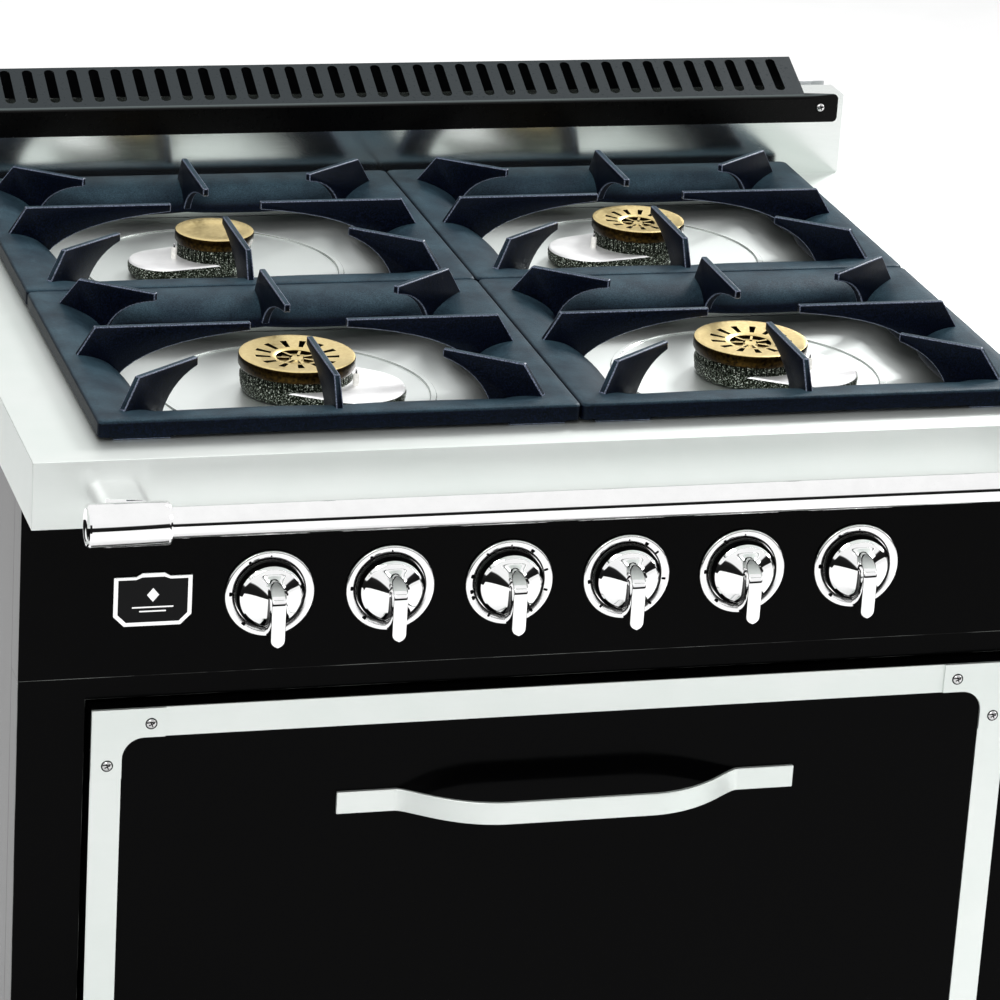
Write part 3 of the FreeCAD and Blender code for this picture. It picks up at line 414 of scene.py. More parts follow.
def finish(piece, bevel=0.0, segments=2, edge=None):
    """Rounds the sharp edges, sets smooth normals and applies the modifiers.

    With an edge material, the rounded edges take the piece's second material."""
    mesh = piece.data
    mesh.polygons.foreach_set("use_smooth", [True] * len(mesh.polygons))
    mesh.set_sharp_from_angle(angle=math.radians(SHARP_FROM))
    if bevel:
        mod = piece.modifiers.new("edges", "BEVEL")
        mod.width = bevel
        mod.segments = segments
        mod.limit_method = "ANGLE"
        mod.angle_limit = math.radians(ROUNDED_FROM)
        mod.use_clamp_overlap = True
        if edge:
            mod.material = 1
        weigh = piece.modifiers.new("normals", "WEIGHTED_NORMAL")
        weigh.keep_sharp = False
        weigh.weight = 100
        graph = bpy.context.evaluated_depsgraph_get()
        done = bpy.data.meshes.new_from_object(piece.evaluated_get(graph),
                                               preserve_all_data_layers=True, depsgraph=graph)
        piece.modifiers.clear()
        piece.data = done
    return piece


def settle(piece, body, slot, *replaced):
    """Gives a piece its body and hides the nodes it stands for. The slot is not used."""
    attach(piece, body)
    if replaced:
        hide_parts(*replaced)
    return piece


def softened(node, material, slot, bevel=0.8 * MM, segments=2, body="range_body", bend=0.0,
             edge=None):
    """The node's own shape with its edges rounded; bend is the radius of its upper front edge.

    A second material may go on the rounded edges."""
    bm = bmesh.new()
    bm.from_mesh(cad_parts[node].data)
    bmesh.ops.remove_doubles(bm, verts=bm.verts, dist=1e-6)
    bmesh.ops.dissolve_limit(bm, angle_limit=math.radians(0.5), verts=bm.verts, edges=bm.edges)
    for face in bm.faces:
        face.material_index = 0
    if bend:
        nearest = min(v.co.y for v in bm.verts) + 1e-5
        highest = max(v.co.z for v in bm.verts if v.co.y < nearest) - 1e-5
        front = [e for e in bm.edges if all(v.co.y < nearest and v.co.z > highest for v in e.verts)]
        bmesh.ops.bevel(bm, geom=front, offset=bend, segments=5, profile=0.5, affect="EDGES")
    piece = link(node + "_shell", bm, [material] + ([edge] if edge else []))
    return settle(finish(piece, bevel, segments, edge=edge), body, slot, node)


# ---- casing ----
DUCT_INSET = 22 * MM       # cover's screw to the end of the flue's rear sheet


def casing():
    softened("cooktop_frame", steel, "stainless", 1.4 * MM, 3)
    softened("backguard", back_steel, "stainless", 1.0 * MM)
    softened("control_panel", black_gloss, "black_enamel", 1.0 * MM)
    # the frame's rounded edges take a painted highlight
    softened("front_frame", black_gloss, "black_enamel", 0.6 * MM, edge=enamel_edge_highlight)
    for side in ("left", "right"):
        softened("side_panel_" + side, black_gloss, "black_enamel", 0.6 * MM)
    # the cover's fold and top are painted paler as painted light, and its rounded edges take a
    # painted highlight
    softened("vent_cover", cover_satin, "black_satin", 0.5 * MM, 2, bend=4.5 * MM, edge=cover_edge_highlight)
    vent_duct()
    softened("drawer_front", black_gloss, "black_enamel", 1.2 * MM, 3, "storage_drawer")
    softened("burner_pans", pan_steel, "stainless", 0.6 * MM, 2)


def vent_duct():
    """A black sheet that closes the rear of the flue under the slotted cover."""
    lo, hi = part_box("vent_cover")
    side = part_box("vent_cover_screws")[1].x - DUCT_INSET
    front, rear = hi.y - 2.2 * MM, hi.y - 1.6 * MM
    bm = bmesh.new()
    add_prism(bm, [(-side, front), (side, front), (side, rear), (-side, rear)],
              lo.z + 20 * MM, hi.z - 2.4 * MM)
    settle(finish(link("flue_rear", bm, [black_satin])), "range_body", "black_satin")


# ---- oven door and the screws ----
SCREW_RADIUS = 4.2 * MM
SCREW_HEIGHT = 1.9 * MM
PAINTED_SHADE_RING = 0.8 * MM       # ring of painted shade seen round each head
RECESS_FLOOR = 1.0 * MM
PLATE_SCREW_NEAR = 13.5 * MM   # corner plate's two screws from the band's two edges
PLATE_SCREW_FAR = 49.0 * MM


def door():
    body = "oven_door"
    softened("door_outer_panel", black_gloss, "black_enamel", 1.0 * MM, 2, body)
    softened("door_banding", steel, "stainless", 0.35 * MM, 2, body)
    softened("door_corner_plates", steel, "stainless", 0.4 * MM, 2, body)
    softened("door_handle", steel, "stainless", 0.9 * MM, 3, body)


def slotted_screws(name, node, body, points):
    """Round heads with a cross recess, facing the front; the recess is a dark cross and a dark ring
    lies round each head, both painted shade.
    """
    bm = bmesh.new()
    for x, y, z in points:
        part = bmesh.new()
        r, h = SCREW_RADIUS, SCREW_HEIGHT
        arc = [(r * math.cos(a), h * math.sin(a)) for a in (0, 0.35, 0.7, 1.05, 1.35)]
        add_lathe(part, [(r, -0.3 * MM)] + arc + [(0.0, h)], 32)
        ring = r + PAINTED_SHADE_RING
        add_lathe(part, [(0.0, -0.2 * MM), (ring, -0.2 * MM), (ring, 0.06 * MM), (0.0, 0.06 * MM)],
                  32, material=1)
        for turn in (0.4, 0.4 + math.pi / 2):
            groove = rounded_rectangle(2.6 * MM, 0.45 * MM, 0.3 * MM, corner=2)
            add_prism(part, turned(groove, turn), RECESS_FLOOR, h + 0.02 * MM, 1)
        absorb(bm, part, Matrix.Translation((x, y, z)) @ FACING_FRONT)
    piece = finish(link(name, bm, [screw_steel, mark_and_painted_shade]))
    return settle(piece, body, "screw_steel", node)


def screws():
    """The two screws of the vent cover, and two in each corner plate of the door."""
    lo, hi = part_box("vent_cover_screws")
    z = (lo.z + hi.z) / 2
    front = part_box("vent_cover")[0].y
    slotted_screws("vent_cover_screw_heads", "vent_cover_screws", "range_body",
                   [(lo.x + SCREW_RADIUS, front, z), (hi.x - SCREW_RADIUS, front, z)])
    plate_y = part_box("door_corner_plates")[0].y
    lo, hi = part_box("door_banding")
    near, far = PLATE_SCREW_NEAR, PLATE_SCREW_FAR
    points = []
    for sx, edge_x in ((1, lo.x), (-1, hi.x)):
        for sz, edge_z in ((1, lo.z), (-1, hi.z)):
            for dx, dz in ((far, near), (near, far)):
                points.append((edge_x + sx * dx, plate_y, edge_z + sz * dz))
    slotted_screws("door_screw_heads", "door_screws", "oven_door", points)


# ---- grates ----
ROLL_FLAT = 8 * MM         # flat outside the roll of the rim
RIM_WALL = 5 * MM
RIM_FOOT = 3.2 * MM        # cooktop's surface to the rim's underside
RIM_RISE = 16.3 * MM       # cooktop's surface to the rim's flat
RIM_DROP = 20.5 * MM       # rim's flat down to the opening's lip
RIM_CORNER = 5 * MM
OPENING_CORNER = 34 * MM
BORDER = 46 * MM           # rim's outside to the opening
LOBE = 6 * MM              # how far the rim swells inwards between ribs
RIB_TOP = 39.6 * MM
RIB_NOSE = 32.5 * MM       # underside of the blunt tip
RIB_LOW = -4.0 * MM        # where a rib meets the opening's lip
RIB_TIP = 41 * MM          # grate's middle to the tip of a straight rib
RIB_SET_IN = 12 * MM       # grate's side to the foot of a straight rib
CORNER_X = 24 * MM         # grate's sides to the foot of a corner rib
CORNER_Y = 28 * MM
PAD_HALF_LENGTH = 24 * MM  # feet under the rim's front and rear
PAD_HALF_DEPTH = 5 * MM
PAD_LOW = 0.35 * MM


def rib_layout(hw, hd):
    """(angle, tip, outer top, outer base, inner edge) of each rib of a grate."""
    layout = []
    for angle, out in ((0, hw), (90, hd), (180, hw), (270, hd)):
        base = out - RIB_SET_IN
        layout.append((angle, RIB_TIP, base - 15 * MM, base, out - BORDER))
    corner = math.degrees(math.atan2(hd - CORNER_Y, hw - CORNER_X))
    base = math.hypot(hw - CORNER_X, hd - CORNER_Y)
    for angle in (corner, 180 - corner, 180 + corner, 360 - corner):
        layout.append((angle, base - 90 * MM, base - 18 * MM, base, base - 44 * MM))
    return sorted(layout)


def add_rim(bm, hw, hd, layout):
    """A rolled rim: flat outside, falling in a round curve to the opening, swollen between ribs."""
    outer = rounded_rectangle(hw, hd, RIM_CORNER, 14, 6)
    inner = rounded_rectangle(hw - BORDER, hd - BORDER, OPENING_CORNER, 14, 6)
    angles = [rib[0] for rib in layout]
    angles = [angles[-1] - 360] + angles + [angles[0] + 360]

    def swell(x, y):
        """How far the opening's edge moves inwards in this direction."""
        here = math.degrees(math.atan2(y, x)) % 360
        for a, b in zip(angles, angles[1:]):
            if a <= here <= b:
                return LOBE * math.sin(math.pi * (here - a) / (b - a)) ** 0.7
        return 0.0

    swollen = []
    for x, y in inner:
        pull = 1 - swell(x, y) / math.hypot(x, y)
        swollen.append((x * pull, y * pull))
    rise, drop = RIM_RISE, RIM_DROP
    flat = ROLL_FLAT / BORDER
    # each point as (share of the border, height)
    section = [(0.0, RIM_FOOT), (0.0, rise - 2 * MM), (0.012, rise - 0.7 * MM), (0.04, rise)]
    for i in range(11):
        a = math.radians(90 * i / 10)
        section.append((flat + (1 - flat) * math.sin(a), rise - drop * (1 - math.cos(a))))
    section += [(1.0, rise - drop - 1.5 * MM), (0.985, rise - drop - 2.4 * MM),
                (0.92, rise - drop - 2.4 * MM)]
    for i in range(8, -1, -1):
        a = math.radians(90 * i / 10)
        reach = (1 - flat) * math.sin(a) * 0.90
        section.append((flat + reach, rise - RIM_WALL - (drop - 4 * MM) * (1 - math.cos(a))))
    section += [(0.10, rise - RIM_WALL), (0.09, RIM_FOOT)]
    loops = []
    for t, z in section:
        loops.append([(ox + (ix - ox) * t, oy + (iy - oy) * t, z)
                      for (ox, oy), (ix, iy) in zip(outer, swollen)])
    add_loops(bm, loops, ring=True)


def add_rib(bm, angle, tip, outer_top, outer_base, inner):
    """A cast rib: level top, blunt nose, an arch beneath and a sloped outer end."""
    top, nose, low = RIB_TOP, RIB_NOSE, RIB_LOW
    outline = [(outer_base, 12 * MM), (outer_base, 15.5 * MM), (outer_top, top), (tip, top),
               (tip, nose)]
    bend = (tip + 0.80 * (inner - tip), 25 * MM)
    for i in range(1, 9):
        t = i / 8
        u = 1 - t
        outline.append((u * u * tip + 2 * u * t * bend[0] + t * t * inner,
                        u * u * nose + 2 * u * t * bend[1] + t * t * low))
    outline += [(inner + 6 * MM, low + 2 * MM), (inner + 22 * MM, 6 * MM)]
    half_top, half_low = 2.6 * MM, 3.4 * MM
    turn = math.radians(angle)
    c, s = math.cos(turn), math.sin(turn)

    def side(sign):
        """One face of the rib, thicker at its foot."""
        loop = []
        for r, z in outline:
            t = min(1.0, max(0.0, (z - low) / (top - low)))
            w = sign * (half_low + (half_top - half_low) * t)
            loop.append((c * r - s * w, s * r + c * w, z))
        return loop

    add_loops(bm, [side(-1), side(1)])


def grates():
    """One casting, made once and set down four times."""
    lo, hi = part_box("grate_front_left")
    hw, hd = (hi.x - lo.x) / 2, (hi.y - lo.y) / 2
    layout = rib_layout(hw, hd)
    bm = bmesh.new()
    add_rim(bm, hw, hd, layout)
    rim = finish(link("grate_rim", bm, [iron]))
    bm = bmesh.new()
    for rib in layout:
        add_rib(bm, *rib)
    for sx in (-1, 1):
        for sy in (-1, 1):
            outline = rounded_rectangle(PAD_HALF_LENGTH, PAD_HALF_DEPTH, 3 * MM, corner=3)
            x, y = sx * (hw - 36 * MM), sy * (hd - 6 * MM)
            add_prism(bm, [(x + u, y + v) for u, v in outline], PAD_LOW, 12 * MM)
    # the ribs' rounded edges take a painted highlight
    ribs = finish(link("grate_ribs", bm, [iron, iron_edge_highlight]), 0.9 * MM, 3, edge=iron_edge_highlight)
    bm = bmesh.new()
    bm.from_mesh(rim.data)
    bm.from_mesh(ribs.data)
    whole = bpy.data.meshes.new("grate_casting")
    bm.to_mesh(whole)
    bm.free()
    whole.materials.append(iron)
    whole.materials.append(iron_edge_highlight)
    for part in (rim, ribs):
        bpy.data.objects.remove(part)
    for name in QUARTERS:
        x, y, _ = middle("grate_" + name)
        mesh = whole.copy()
        mesh.transform(Matrix.Translation((x, y, surface_z)))
        piece = bpy.data.objects.new("cast_grate_" + name, mesh)
        bpy.context.scene.collection.objects.link(piece)
        finish(piece)
        settle(piece, "grate_" + name, "cast_iron", "grate_" + name)


# ---- burners ----
# where the far end of each casting lies from the cap's middle, in millimetres
TAILS = {"front_left": (42, -30), "front_right": (42, -30),
         "rear_left": (-50, -14), "rear_right": (-50, -14)}
DECK_HEIGHT = 14 * MM      # casting's foot to its machined deck
CAP_SLOTS = 13
SPOKES = 7                 # inside the hole of a slotted cap
SLOT_DEPTH = 3.5 * MM
TEETH_PITCH = 4.6 * MM     # along the crown, and its depth inside the cap's edge
ELECTRODE_GAP = 4.6 * MM   # cap's edge to the electrode's axis


def cap_centre(name):
    """The middle of a cap's top, and its radius."""
    lo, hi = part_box("burner_cap_" + name)
    return Vector(((lo.x + hi.x) / 2, (lo.y + hi.y) / 2, hi.z)), (hi.x - lo.x) / 2


def slotted_cap(bm, r, top, low):
    """A ring cap: dished, with a hole in the middle and short radial slots round it."""
    parts = 6                  # faces round the cap for each slot and its land
    count = CAP_SLOTS * parts
    hole = 0.36 * r
    profile = [(hole, low + 2 * MM), (hole, top - 3.4 * MM), (hole + 1 * MM, top - 2.6 * MM),
               (0.46 * r, top - 2.2 * MM), (0.72 * r, top - 1.0 * MM), (0.90 * r, top - 0.2 * MM),
               (r - 1.6 * MM, top), (r - 0.5 * MM, top - 0.4 * MM), (r, top - 1.5 * MM),
               (r, low + 2.5 * MM), (r - 1.5 * MM, low)]
    loops = [[(x, y, z) for x, y in circle(radius, count)] for radius, z in profile]
    loops.append([(x, y, low) for x, y in circle(hole + 4 * MM, count)])
    rows = add_loops(bm, loops, ring=True)
    chosen = []
    first, second = rows[3], rows[4]
    for face in bm.faces:
        corners = set(face.verts)
        if len(corners & set(first)) == 2 and len(corners & set(second)) == 2:
            index = min(first.index(v) for v in corners & set(first))
            if index % parts in (2, 3):
                chosen.append(face)
    # the slots' floors are painted dark as painted shade
    grown = bmesh.ops.extrude_discrete_faces(bm, faces=chosen)["faces"]
    for face in grown:
        for vert in face.verts:
            vert.co.z -= SLOT_DEPTH
        face.material_index = 1


def plain_cap(bm, r, top, low):
    """A disc cap with a shallow dish and a raised bead inside its edge."""
    profile = [(0.0, top - 1.6 * MM), (0.40 * r, top - 1.5 * MM), (0.66 * r, top - 1.1 * MM),
               (0.72 * r, top - 0.5 * MM), (0.80 * r, top - 0.3 * MM), (r - 1.6 * MM, top),
               (r - 0.5 * MM, top - 0.4 * MM), (r, top - 1.5 * MM), (r, low + 2.5 * MM),
               (r - 1.5 * MM, low), (0.0, low)]
    add_lathe(bm, profile, 96)


def burner_caps():
    """Three slotted caps and one plain one, each on its own body."""
    for name in QUARTERS:
        centre, r = cap_centre(name)
        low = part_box("burner_cap_" + name)[0].z - centre.z
        bm = bmesh.new()
        if name == "rear_left":
            plain_cap(bm, r, 0.0, low)
        else:
            slotted_cap(bm, r, 0.0, low)
            inner = 0.30 * r
            add_lathe(bm, [(0.0, -4.6 * MM), (inner * 0.35, -4.4 * MM), (inner * 0.4, -5.4 * MM),
                           (inner, -5.6 * MM), (inner, low), (0.0, low)], 48)
            for i in range(SPOKES):
                bar = rounded_rectangle(0.11 * r, 1.1 * MM, 0.5 * MM, corner=2)
                spoke = turned([(u + 0.24 * r, v) for u, v in bar], 2 * math.pi * i / SPOKES + 0.3)
                add_prism(bm, spoke, -6 * MM, -3.6 * MM)
        bm.transform(Matrix.Translation(centre))
        piece = finish(link("brass_cap_" + name, bm, [brass, mark_and_painted_shade]))
        settle(piece, "cap_" + name, "brass", "burner_cap_" + name)


def hull_outline(dx, dy, r_here, r_there, count=60):
    """The outline round two circles, one at the origin and one at (dx, dy)."""
    reach, heading = math.hypot(dx, dy), math.atan2(dy, dx)
    spread = math.acos((r_here - r_there) / reach)
    points = []
    for i in range(count + 1):
        a = heading - spread + 2 * spread * i / count
        points.append((dx + r_there * math.cos(a), dy + r_there * math.sin(a)))
    for i in range(count + 1):
        a = heading + spread + (2 * math.pi - 2 * spread) * i / count
        points.append((r_here * math.cos(a), r_here * math.sin(a)))
    return points


def shrunk(outline, by):
    """The outline moved inwards by a small distance, towards the middle of its box."""
    cx = (min(x for x, _ in outline) + max(x for x, _ in outline)) / 2
    cy = (min(y for _, y in outline) + max(y for _, y in outline)) / 2
    result = []
    for x, y in outline:
        away = math.hypot(x - cx, y - cy)
        result.append((x + (cx - x) * by / away, y + (cy - y) * by / away))
    return result


def burner_bases():
    """Sand-cast bowls with a machined deck and a ported crown under each cap."""
    for name in QUARTERS:
        cap_top, r = cap_centre(name)
        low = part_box("burner_base_" + name)[0].z
        cap_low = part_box("burner_cap_" + name)[0].z
        centre = Vector((cap_top.x, cap_top.y, low))
        deck = DECK_HEIGHT
        tx, ty = (v * MM for v in TAILS[name])
        bowl = hull_outline(tx, ty, r - 2 * MM, r - 5 * MM)
        bm = bmesh.new()
        # each row as (inset, height), in millimetres
        rows = [(5.0, 0.0), (2.2, 1.2), (0.9, 3.4), (0.3, 6.0), (0.0, 8.5), (0.0, 10.5),
                (0.5, 12.4), (1.4, 13.5), (2.6, 14.0)]
        loops = []
        for inset, z in rows:
            loop = []
            for x, y in shrunk(bowl, inset * MM):
                bump = noise.noise(Vector((x, y, z * MM)) * 420) * 0.5 * MM
                rough = bump if z < 12 else 0.0     # the deck's edge stays true
                away = math.hypot(x, y)
                loop.append((x * (1 + rough / away), y * (1 + rough / away), z * MM))
            loops.append(loop)
        add_loops(bm, loops, material=1)
        for face in bm.faces:
            if all(v.co.z > 12.3 * MM for v in face.verts):
                face.material_index = 0
        seat = cap_low - low - 0.4 * MM
        add_lathe(bm, [(0.0, deck - 2 * MM), (r - 1.5 * MM, deck - 2 * MM),
                       (r - 1.5 * MM, deck + 0.5 * MM), (r - 2.5 * MM, deck + 1.0 * MM),
                       (r - 4.5 * MM, deck + 1.4 * MM), (r - 4.5 * MM, seat), (0.0, seat)],
                  96, material=1)
        teeth = int(2 * math.pi * r / TEETH_PITCH)
        for i in range(teeth):
            bar = rounded_rectangle(2.2 * MM, 1.6 * MM, 0.4 * MM, corner=2)
            tooth = turned([(u + r - TEETH_PITCH, v) for u, v in bar], 2 * math.pi * i / teeth)
            add_prism(bm, tooth, deck + 1.0 * MM, seat, 1)
        bm.transform(Matrix.Translation(centre))
        piece = finish(link("burner_casting_" + name, bm, [deck_metal, cast_metal]))
        settle(piece, "range_body", "aluminium", "burner_base_" + name)


def electrodes():
    """A white ceramic sleeve with a steel wire tip beside each cap."""
    bm = bmesh.new()
    for name in QUARTERS:
        cap_top, r = cap_centre(name)
        tx, ty = TAILS[name]
        heading = math.atan2(ty, tx)
        away = r + ELECTRODE_GAP
        low, high = (corner.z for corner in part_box("spark_electrodes"))
        part = bmesh.new()
        add_lathe(part, [(0.0, low), (2.6 * MM, low), (2.6 * MM, high - 5 * MM),
                         (2.0 * MM, high - 4 * MM), (0.0, high - 4 * MM)], 24)
        add_lathe(part, [(0.0, high - 5 * MM), (0.8 * MM, high - 5 * MM), (0.8 * MM, high - 1 * MM),
                         (0.0, high)], 12, material=1)
        absorb(bm, part, Matrix.Translation((cap_top.x + away * math.cos(heading),
                                             cap_top.y + away * math.sin(heading), 0)))
    piece = finish(link("ceramic_electrodes", bm, [ceramic, screw_steel]))
    settle(piece, "range_body", "ceramic", "spark_electrodes")


# ---- controls ----
KNOB_RADIUS = 28.5 * MM
KNOB_BASE = 3.4 * MM       # panel to the knob's rear face
SKIRT_EDGE = 2.4 * MM      # skirt's round edge, seen from the front
SKIRT_HEIGHT = 5.2 * MM
DOME_HEIGHT = 7.5 * MM
RIDGE_HEIGHT = 11.0 * MM   # of the swelling that draws up into the lever
# the lever, in millimetres: height along the knob's axis, and place along its length
LEVER_FRONT = 38
LEVER_BACK = 13.3
LEVER_HALF_WIDTH = 6.0
LEVER_UPPER_END = 18
LEVER_LOWER_END = -33
LEVER_BREAK = 5            # the front face slopes back above this
LEVER_SLOPE = 17           # and has gone back this far at the upper end
BEZEL_RADIUS = 37.2 * MM
BEZEL_RING = 4.4 * MM      # bezel's edge to the middle of its marks
# the marks of each bezel as (clock angle in degrees from the top, kind)
BURNER_MARKS = ((0, "dot"), (-32, "flame"), (-22, "tick"), (-88, "disc"), (-140, "disc"))
OVEN_MARKS = ((0, "dot"), (34, "disc"), (-38, "bar"), (-24, "tick"), (-78, "disc"), (-102, "disc"),
              (-112, "disc"), (-150, "bar"), (72, "bar"), (104, "bar"), (142, "bar"))
SELECTOR_MARKS = ((0, "dot"), (28, "disc"), (50, "bar"), (-45, "tick"), (95, "bar"), (138, "bar"),
                  (-140, "bar"), (-95, "disc"))


def knob_matrix(node):
    """From a knob's own frame, with +Z out of the panel, to its place."""
    place = (middle(node)[0], panel_y, middle("knob_bezels")[2])
    return Matrix.Translation(place) @ FACING_FRONT


def add_knob(bm):
    """A skirt and a swelling centre that draws up into a lever, all one piece: chrome, with the
    skirt painted dark as painted shade.
    """
    count = 96
    rings = [(KNOB_RADIUS - 0.8 * MM, 0.0), (KNOB_RADIUS, 0.8 * MM), (KNOB_RADIUS, 3.2 * MM),
             (KNOB_RADIUS - 0.8 * MM, 4.4 * MM), (KNOB_RADIUS - SKIRT_EDGE, SKIRT_HEIGHT)]
    loops = [[(x, y, KNOB_BASE + z) for x, y in circle(r, count)] for r, z in rings]
    steps = 22
    for i in range(1, steps + 1):
        r = (KNOB_RADIUS - SKIRT_EDGE) * (1 - i / steps)
        loop = []
        for x, y in circle(max(r, 0.05 * MM), count):
            dome = DOME_HEIGHT * (1 - (r / KNOB_RADIUS) ** 2.2)
            along = max(0.0, 1 - max(0.0, y - 4 * MM) / (16 * MM))
            along = min(along, max(0.0, 1 - max(0.0, -y - 14 * MM) / (13 * MM)))
            ridge = RIDGE_HEIGHT * math.exp(-(abs(x) / (8.5 * MM)) ** 1.6) * along ** 0.8
            loop.append((x, y, KNOB_BASE + SKIRT_HEIGHT + dome + ridge))
        loops.append(loop)
    add_loops(bm, loops)
    bm.faces.ensure_lookup_table()
    # the skirt's faces are painted dark as painted shade
    shaded_skirt_faces = (len(rings) - 1) * count
    for face in bm.faces[:shaded_skirt_faces]:
        face.material_index = 1
    add_lever(bm)


def add_lever(bm):
    """Sections across the lever, from its upper round end to its lower one."""
    half = LEVER_HALF_WIDTH
    last = LEVER_LOWER_END + half
    stations = [(LEVER_UPPER_END - half * (1 - math.sin(a)), half * math.cos(a)) for a in
                (math.radians(d) for d in (89, 70, 52, 35, 18, 0))]
    stations += [(y, half) for y in (10, 8, 6, 3, 0, -9, -18, last)]
    stations += [(last - half * math.sin(a), half * math.cos(a)) for a in
                 (math.radians(d) for d in (18, 35, 52, 70, 89))]
    back = LEVER_BACK
    reach = LEVER_UPPER_END - LEVER_BREAK
    lever = []
    for y, half_width in stations:
        top = LEVER_FRONT - LEVER_SLOPE * max(0.0, (y - LEVER_BREAK) / reach) ** 1.5
        round_over = min(1.5, 0.9 * half_width)
        section = rounded_rectangle(half_width * MM, (top - back) / 2 * MM, round_over * MM, 1, 4)
        lever.append([(u, y * MM, (top + back) / 2 * MM + v) for u, v in section])
    add_loops(bm, lever)


def knobs():
    """Six knobs of one shape, each on its own body."""
    for node in KNOBS:
        bm = bmesh.new()
        add_knob(bm)
        bm.transform(knob_matrix(node))
        piece = finish(link("chrome_" + node, bm, [polished, mark_and_painted_shade]))
        settle(piece, node, "chrome", node)


def add_mark(bm, angle, kind, radius, z):
    """One small dark mark on a bezel, at a clock angle from the top."""
    shapes = {"dot": circle(0.8 * MM, 10),
              "disc": circle(1.9 * MM, 16),
              "bar": rounded_rectangle(1.0 * MM, 2.5 * MM, 0.8 * MM, corner=3),
              "tick": rounded_rectangle(2.3 * MM, 0.3 * MM, 0.2 * MM, corner=2),
              "flame": [(x, y * (1.5 if y > 0 else 1.0)) for x, y in circle(1.25 * MM, 14)]}
    mark = turned([(u, v + radius) for u, v in shapes[kind]], math.radians(-angle))
    add_prism(bm, mark, z - 0.3 * MM, z + 0.06 * MM, 1)


def bezels():
    """A flat ring with a fine lip, a dark well inside it and its marks."""
    bm = bmesh.new()
    for number, node in enumerate(KNOBS, 1):
        part = bmesh.new()
        r = BEZEL_RADIUS
        add_lathe(part, [(0.0, 0.0), (r - 0.4 * MM, 0.0), (r, 0.4 * MM), (r, 1.9 * MM),
                         (r - 0.7 * MM, 2.8 * MM), (r - 1.6 * MM, 3.0 * MM),
                         (r - 7.4 * MM, 2.7 * MM), (r - 7.9 * MM, 2.3 * MM),
                         (r - 7.9 * MM, 1.2 * MM), (0.0, 1.2 * MM)], 96)
        marks = {3: OVEN_MARKS, 4: SELECTOR_MARKS}.get(number, BURNER_MARKS)
        for angle, kind in marks:
            add_mark(part, angle, kind, r - BEZEL_RING, 2.85 * MM)
        absorb(bm, part, knob_matrix(node))
    piece = finish(link("bezel_rings", bm, [satin_chrome, mark_and_painted_shade]))
    settle(piece, "range_body", "chrome", "knob_bezels")


def badge_outline(width, height, clip, crest):
    """A plate with clipped lower corners and a low crest in the middle of its upper edge."""
    w, h = width / 2, height / 2
    return [(clip - w, -h), (w - clip, -h), (w, clip - h), (w, h - crest), (14 * MM, h - crest),
            (9 * MM, h), (-9 * MM, h), (-14 * MM, h - crest), (-w, h - crest), (-w, clip - h)]


def badge():
    """A bright frame round a black field, with a plain diamond and two bars."""
    lo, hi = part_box("badge_plate")
    width, height = hi.x - lo.x, hi.z - lo.z
    x, _, z = middle("badge_plate")
    place = Matrix.Translation((x, panel_y, z)) @ FACING_FRONT
    bm = bmesh.new()
    add_prism(bm, badge_outline(width, height, clip=9 * MM, crest=3 * MM), 0.0, 2.3 * MM)
    bm.transform(place)
    piece = finish(link("badge_frame", bm, [satin_chrome]), 0.5 * MM)
    settle(piece, "range_body", "chrome", "badge_plate")
    bm = bmesh.new()
    rim = 3.6 * MM
    field = badge_outline(width - 2 * rim, height - 2 * rim, clip=7 * MM, crest=2 * MM)
    add_prism(bm, field, 1.8 * MM, 2.42 * MM)
    diamond = [(5 * MM, 4 * MM), (0, 10 * MM), (-5 * MM, 4 * MM), (0, -2 * MM)]
    add_prism(bm, diamond, 2.2 * MM, 2.5 * MM, 1)
    for y, half_width in ((-6.5, 17), (-10.0, 11)):
        bar = rounded_rectangle(half_width * MM, 0.6 * MM, 0.4 * MM, corner=2)
        add_prism(bm, [(u, v + y * MM) for u, v in bar], 2.2 * MM, 2.5 * MM, 1)
    bm.transform(place)
    piece = finish(link("badge_field", bm, [black_satin, satin_chrome]))
    settle(piece, "range_body", "chrome")


# ---- towel bar ----
POST_HALF_WIDTH = 23 * MM
POST_HALF_HEIGHT = 11 * MM
POST_LENGTH = 46 * MM      # fascia's face to the end inside the sleeve
POST_RISE = 6 * MM         # above the bar's axis


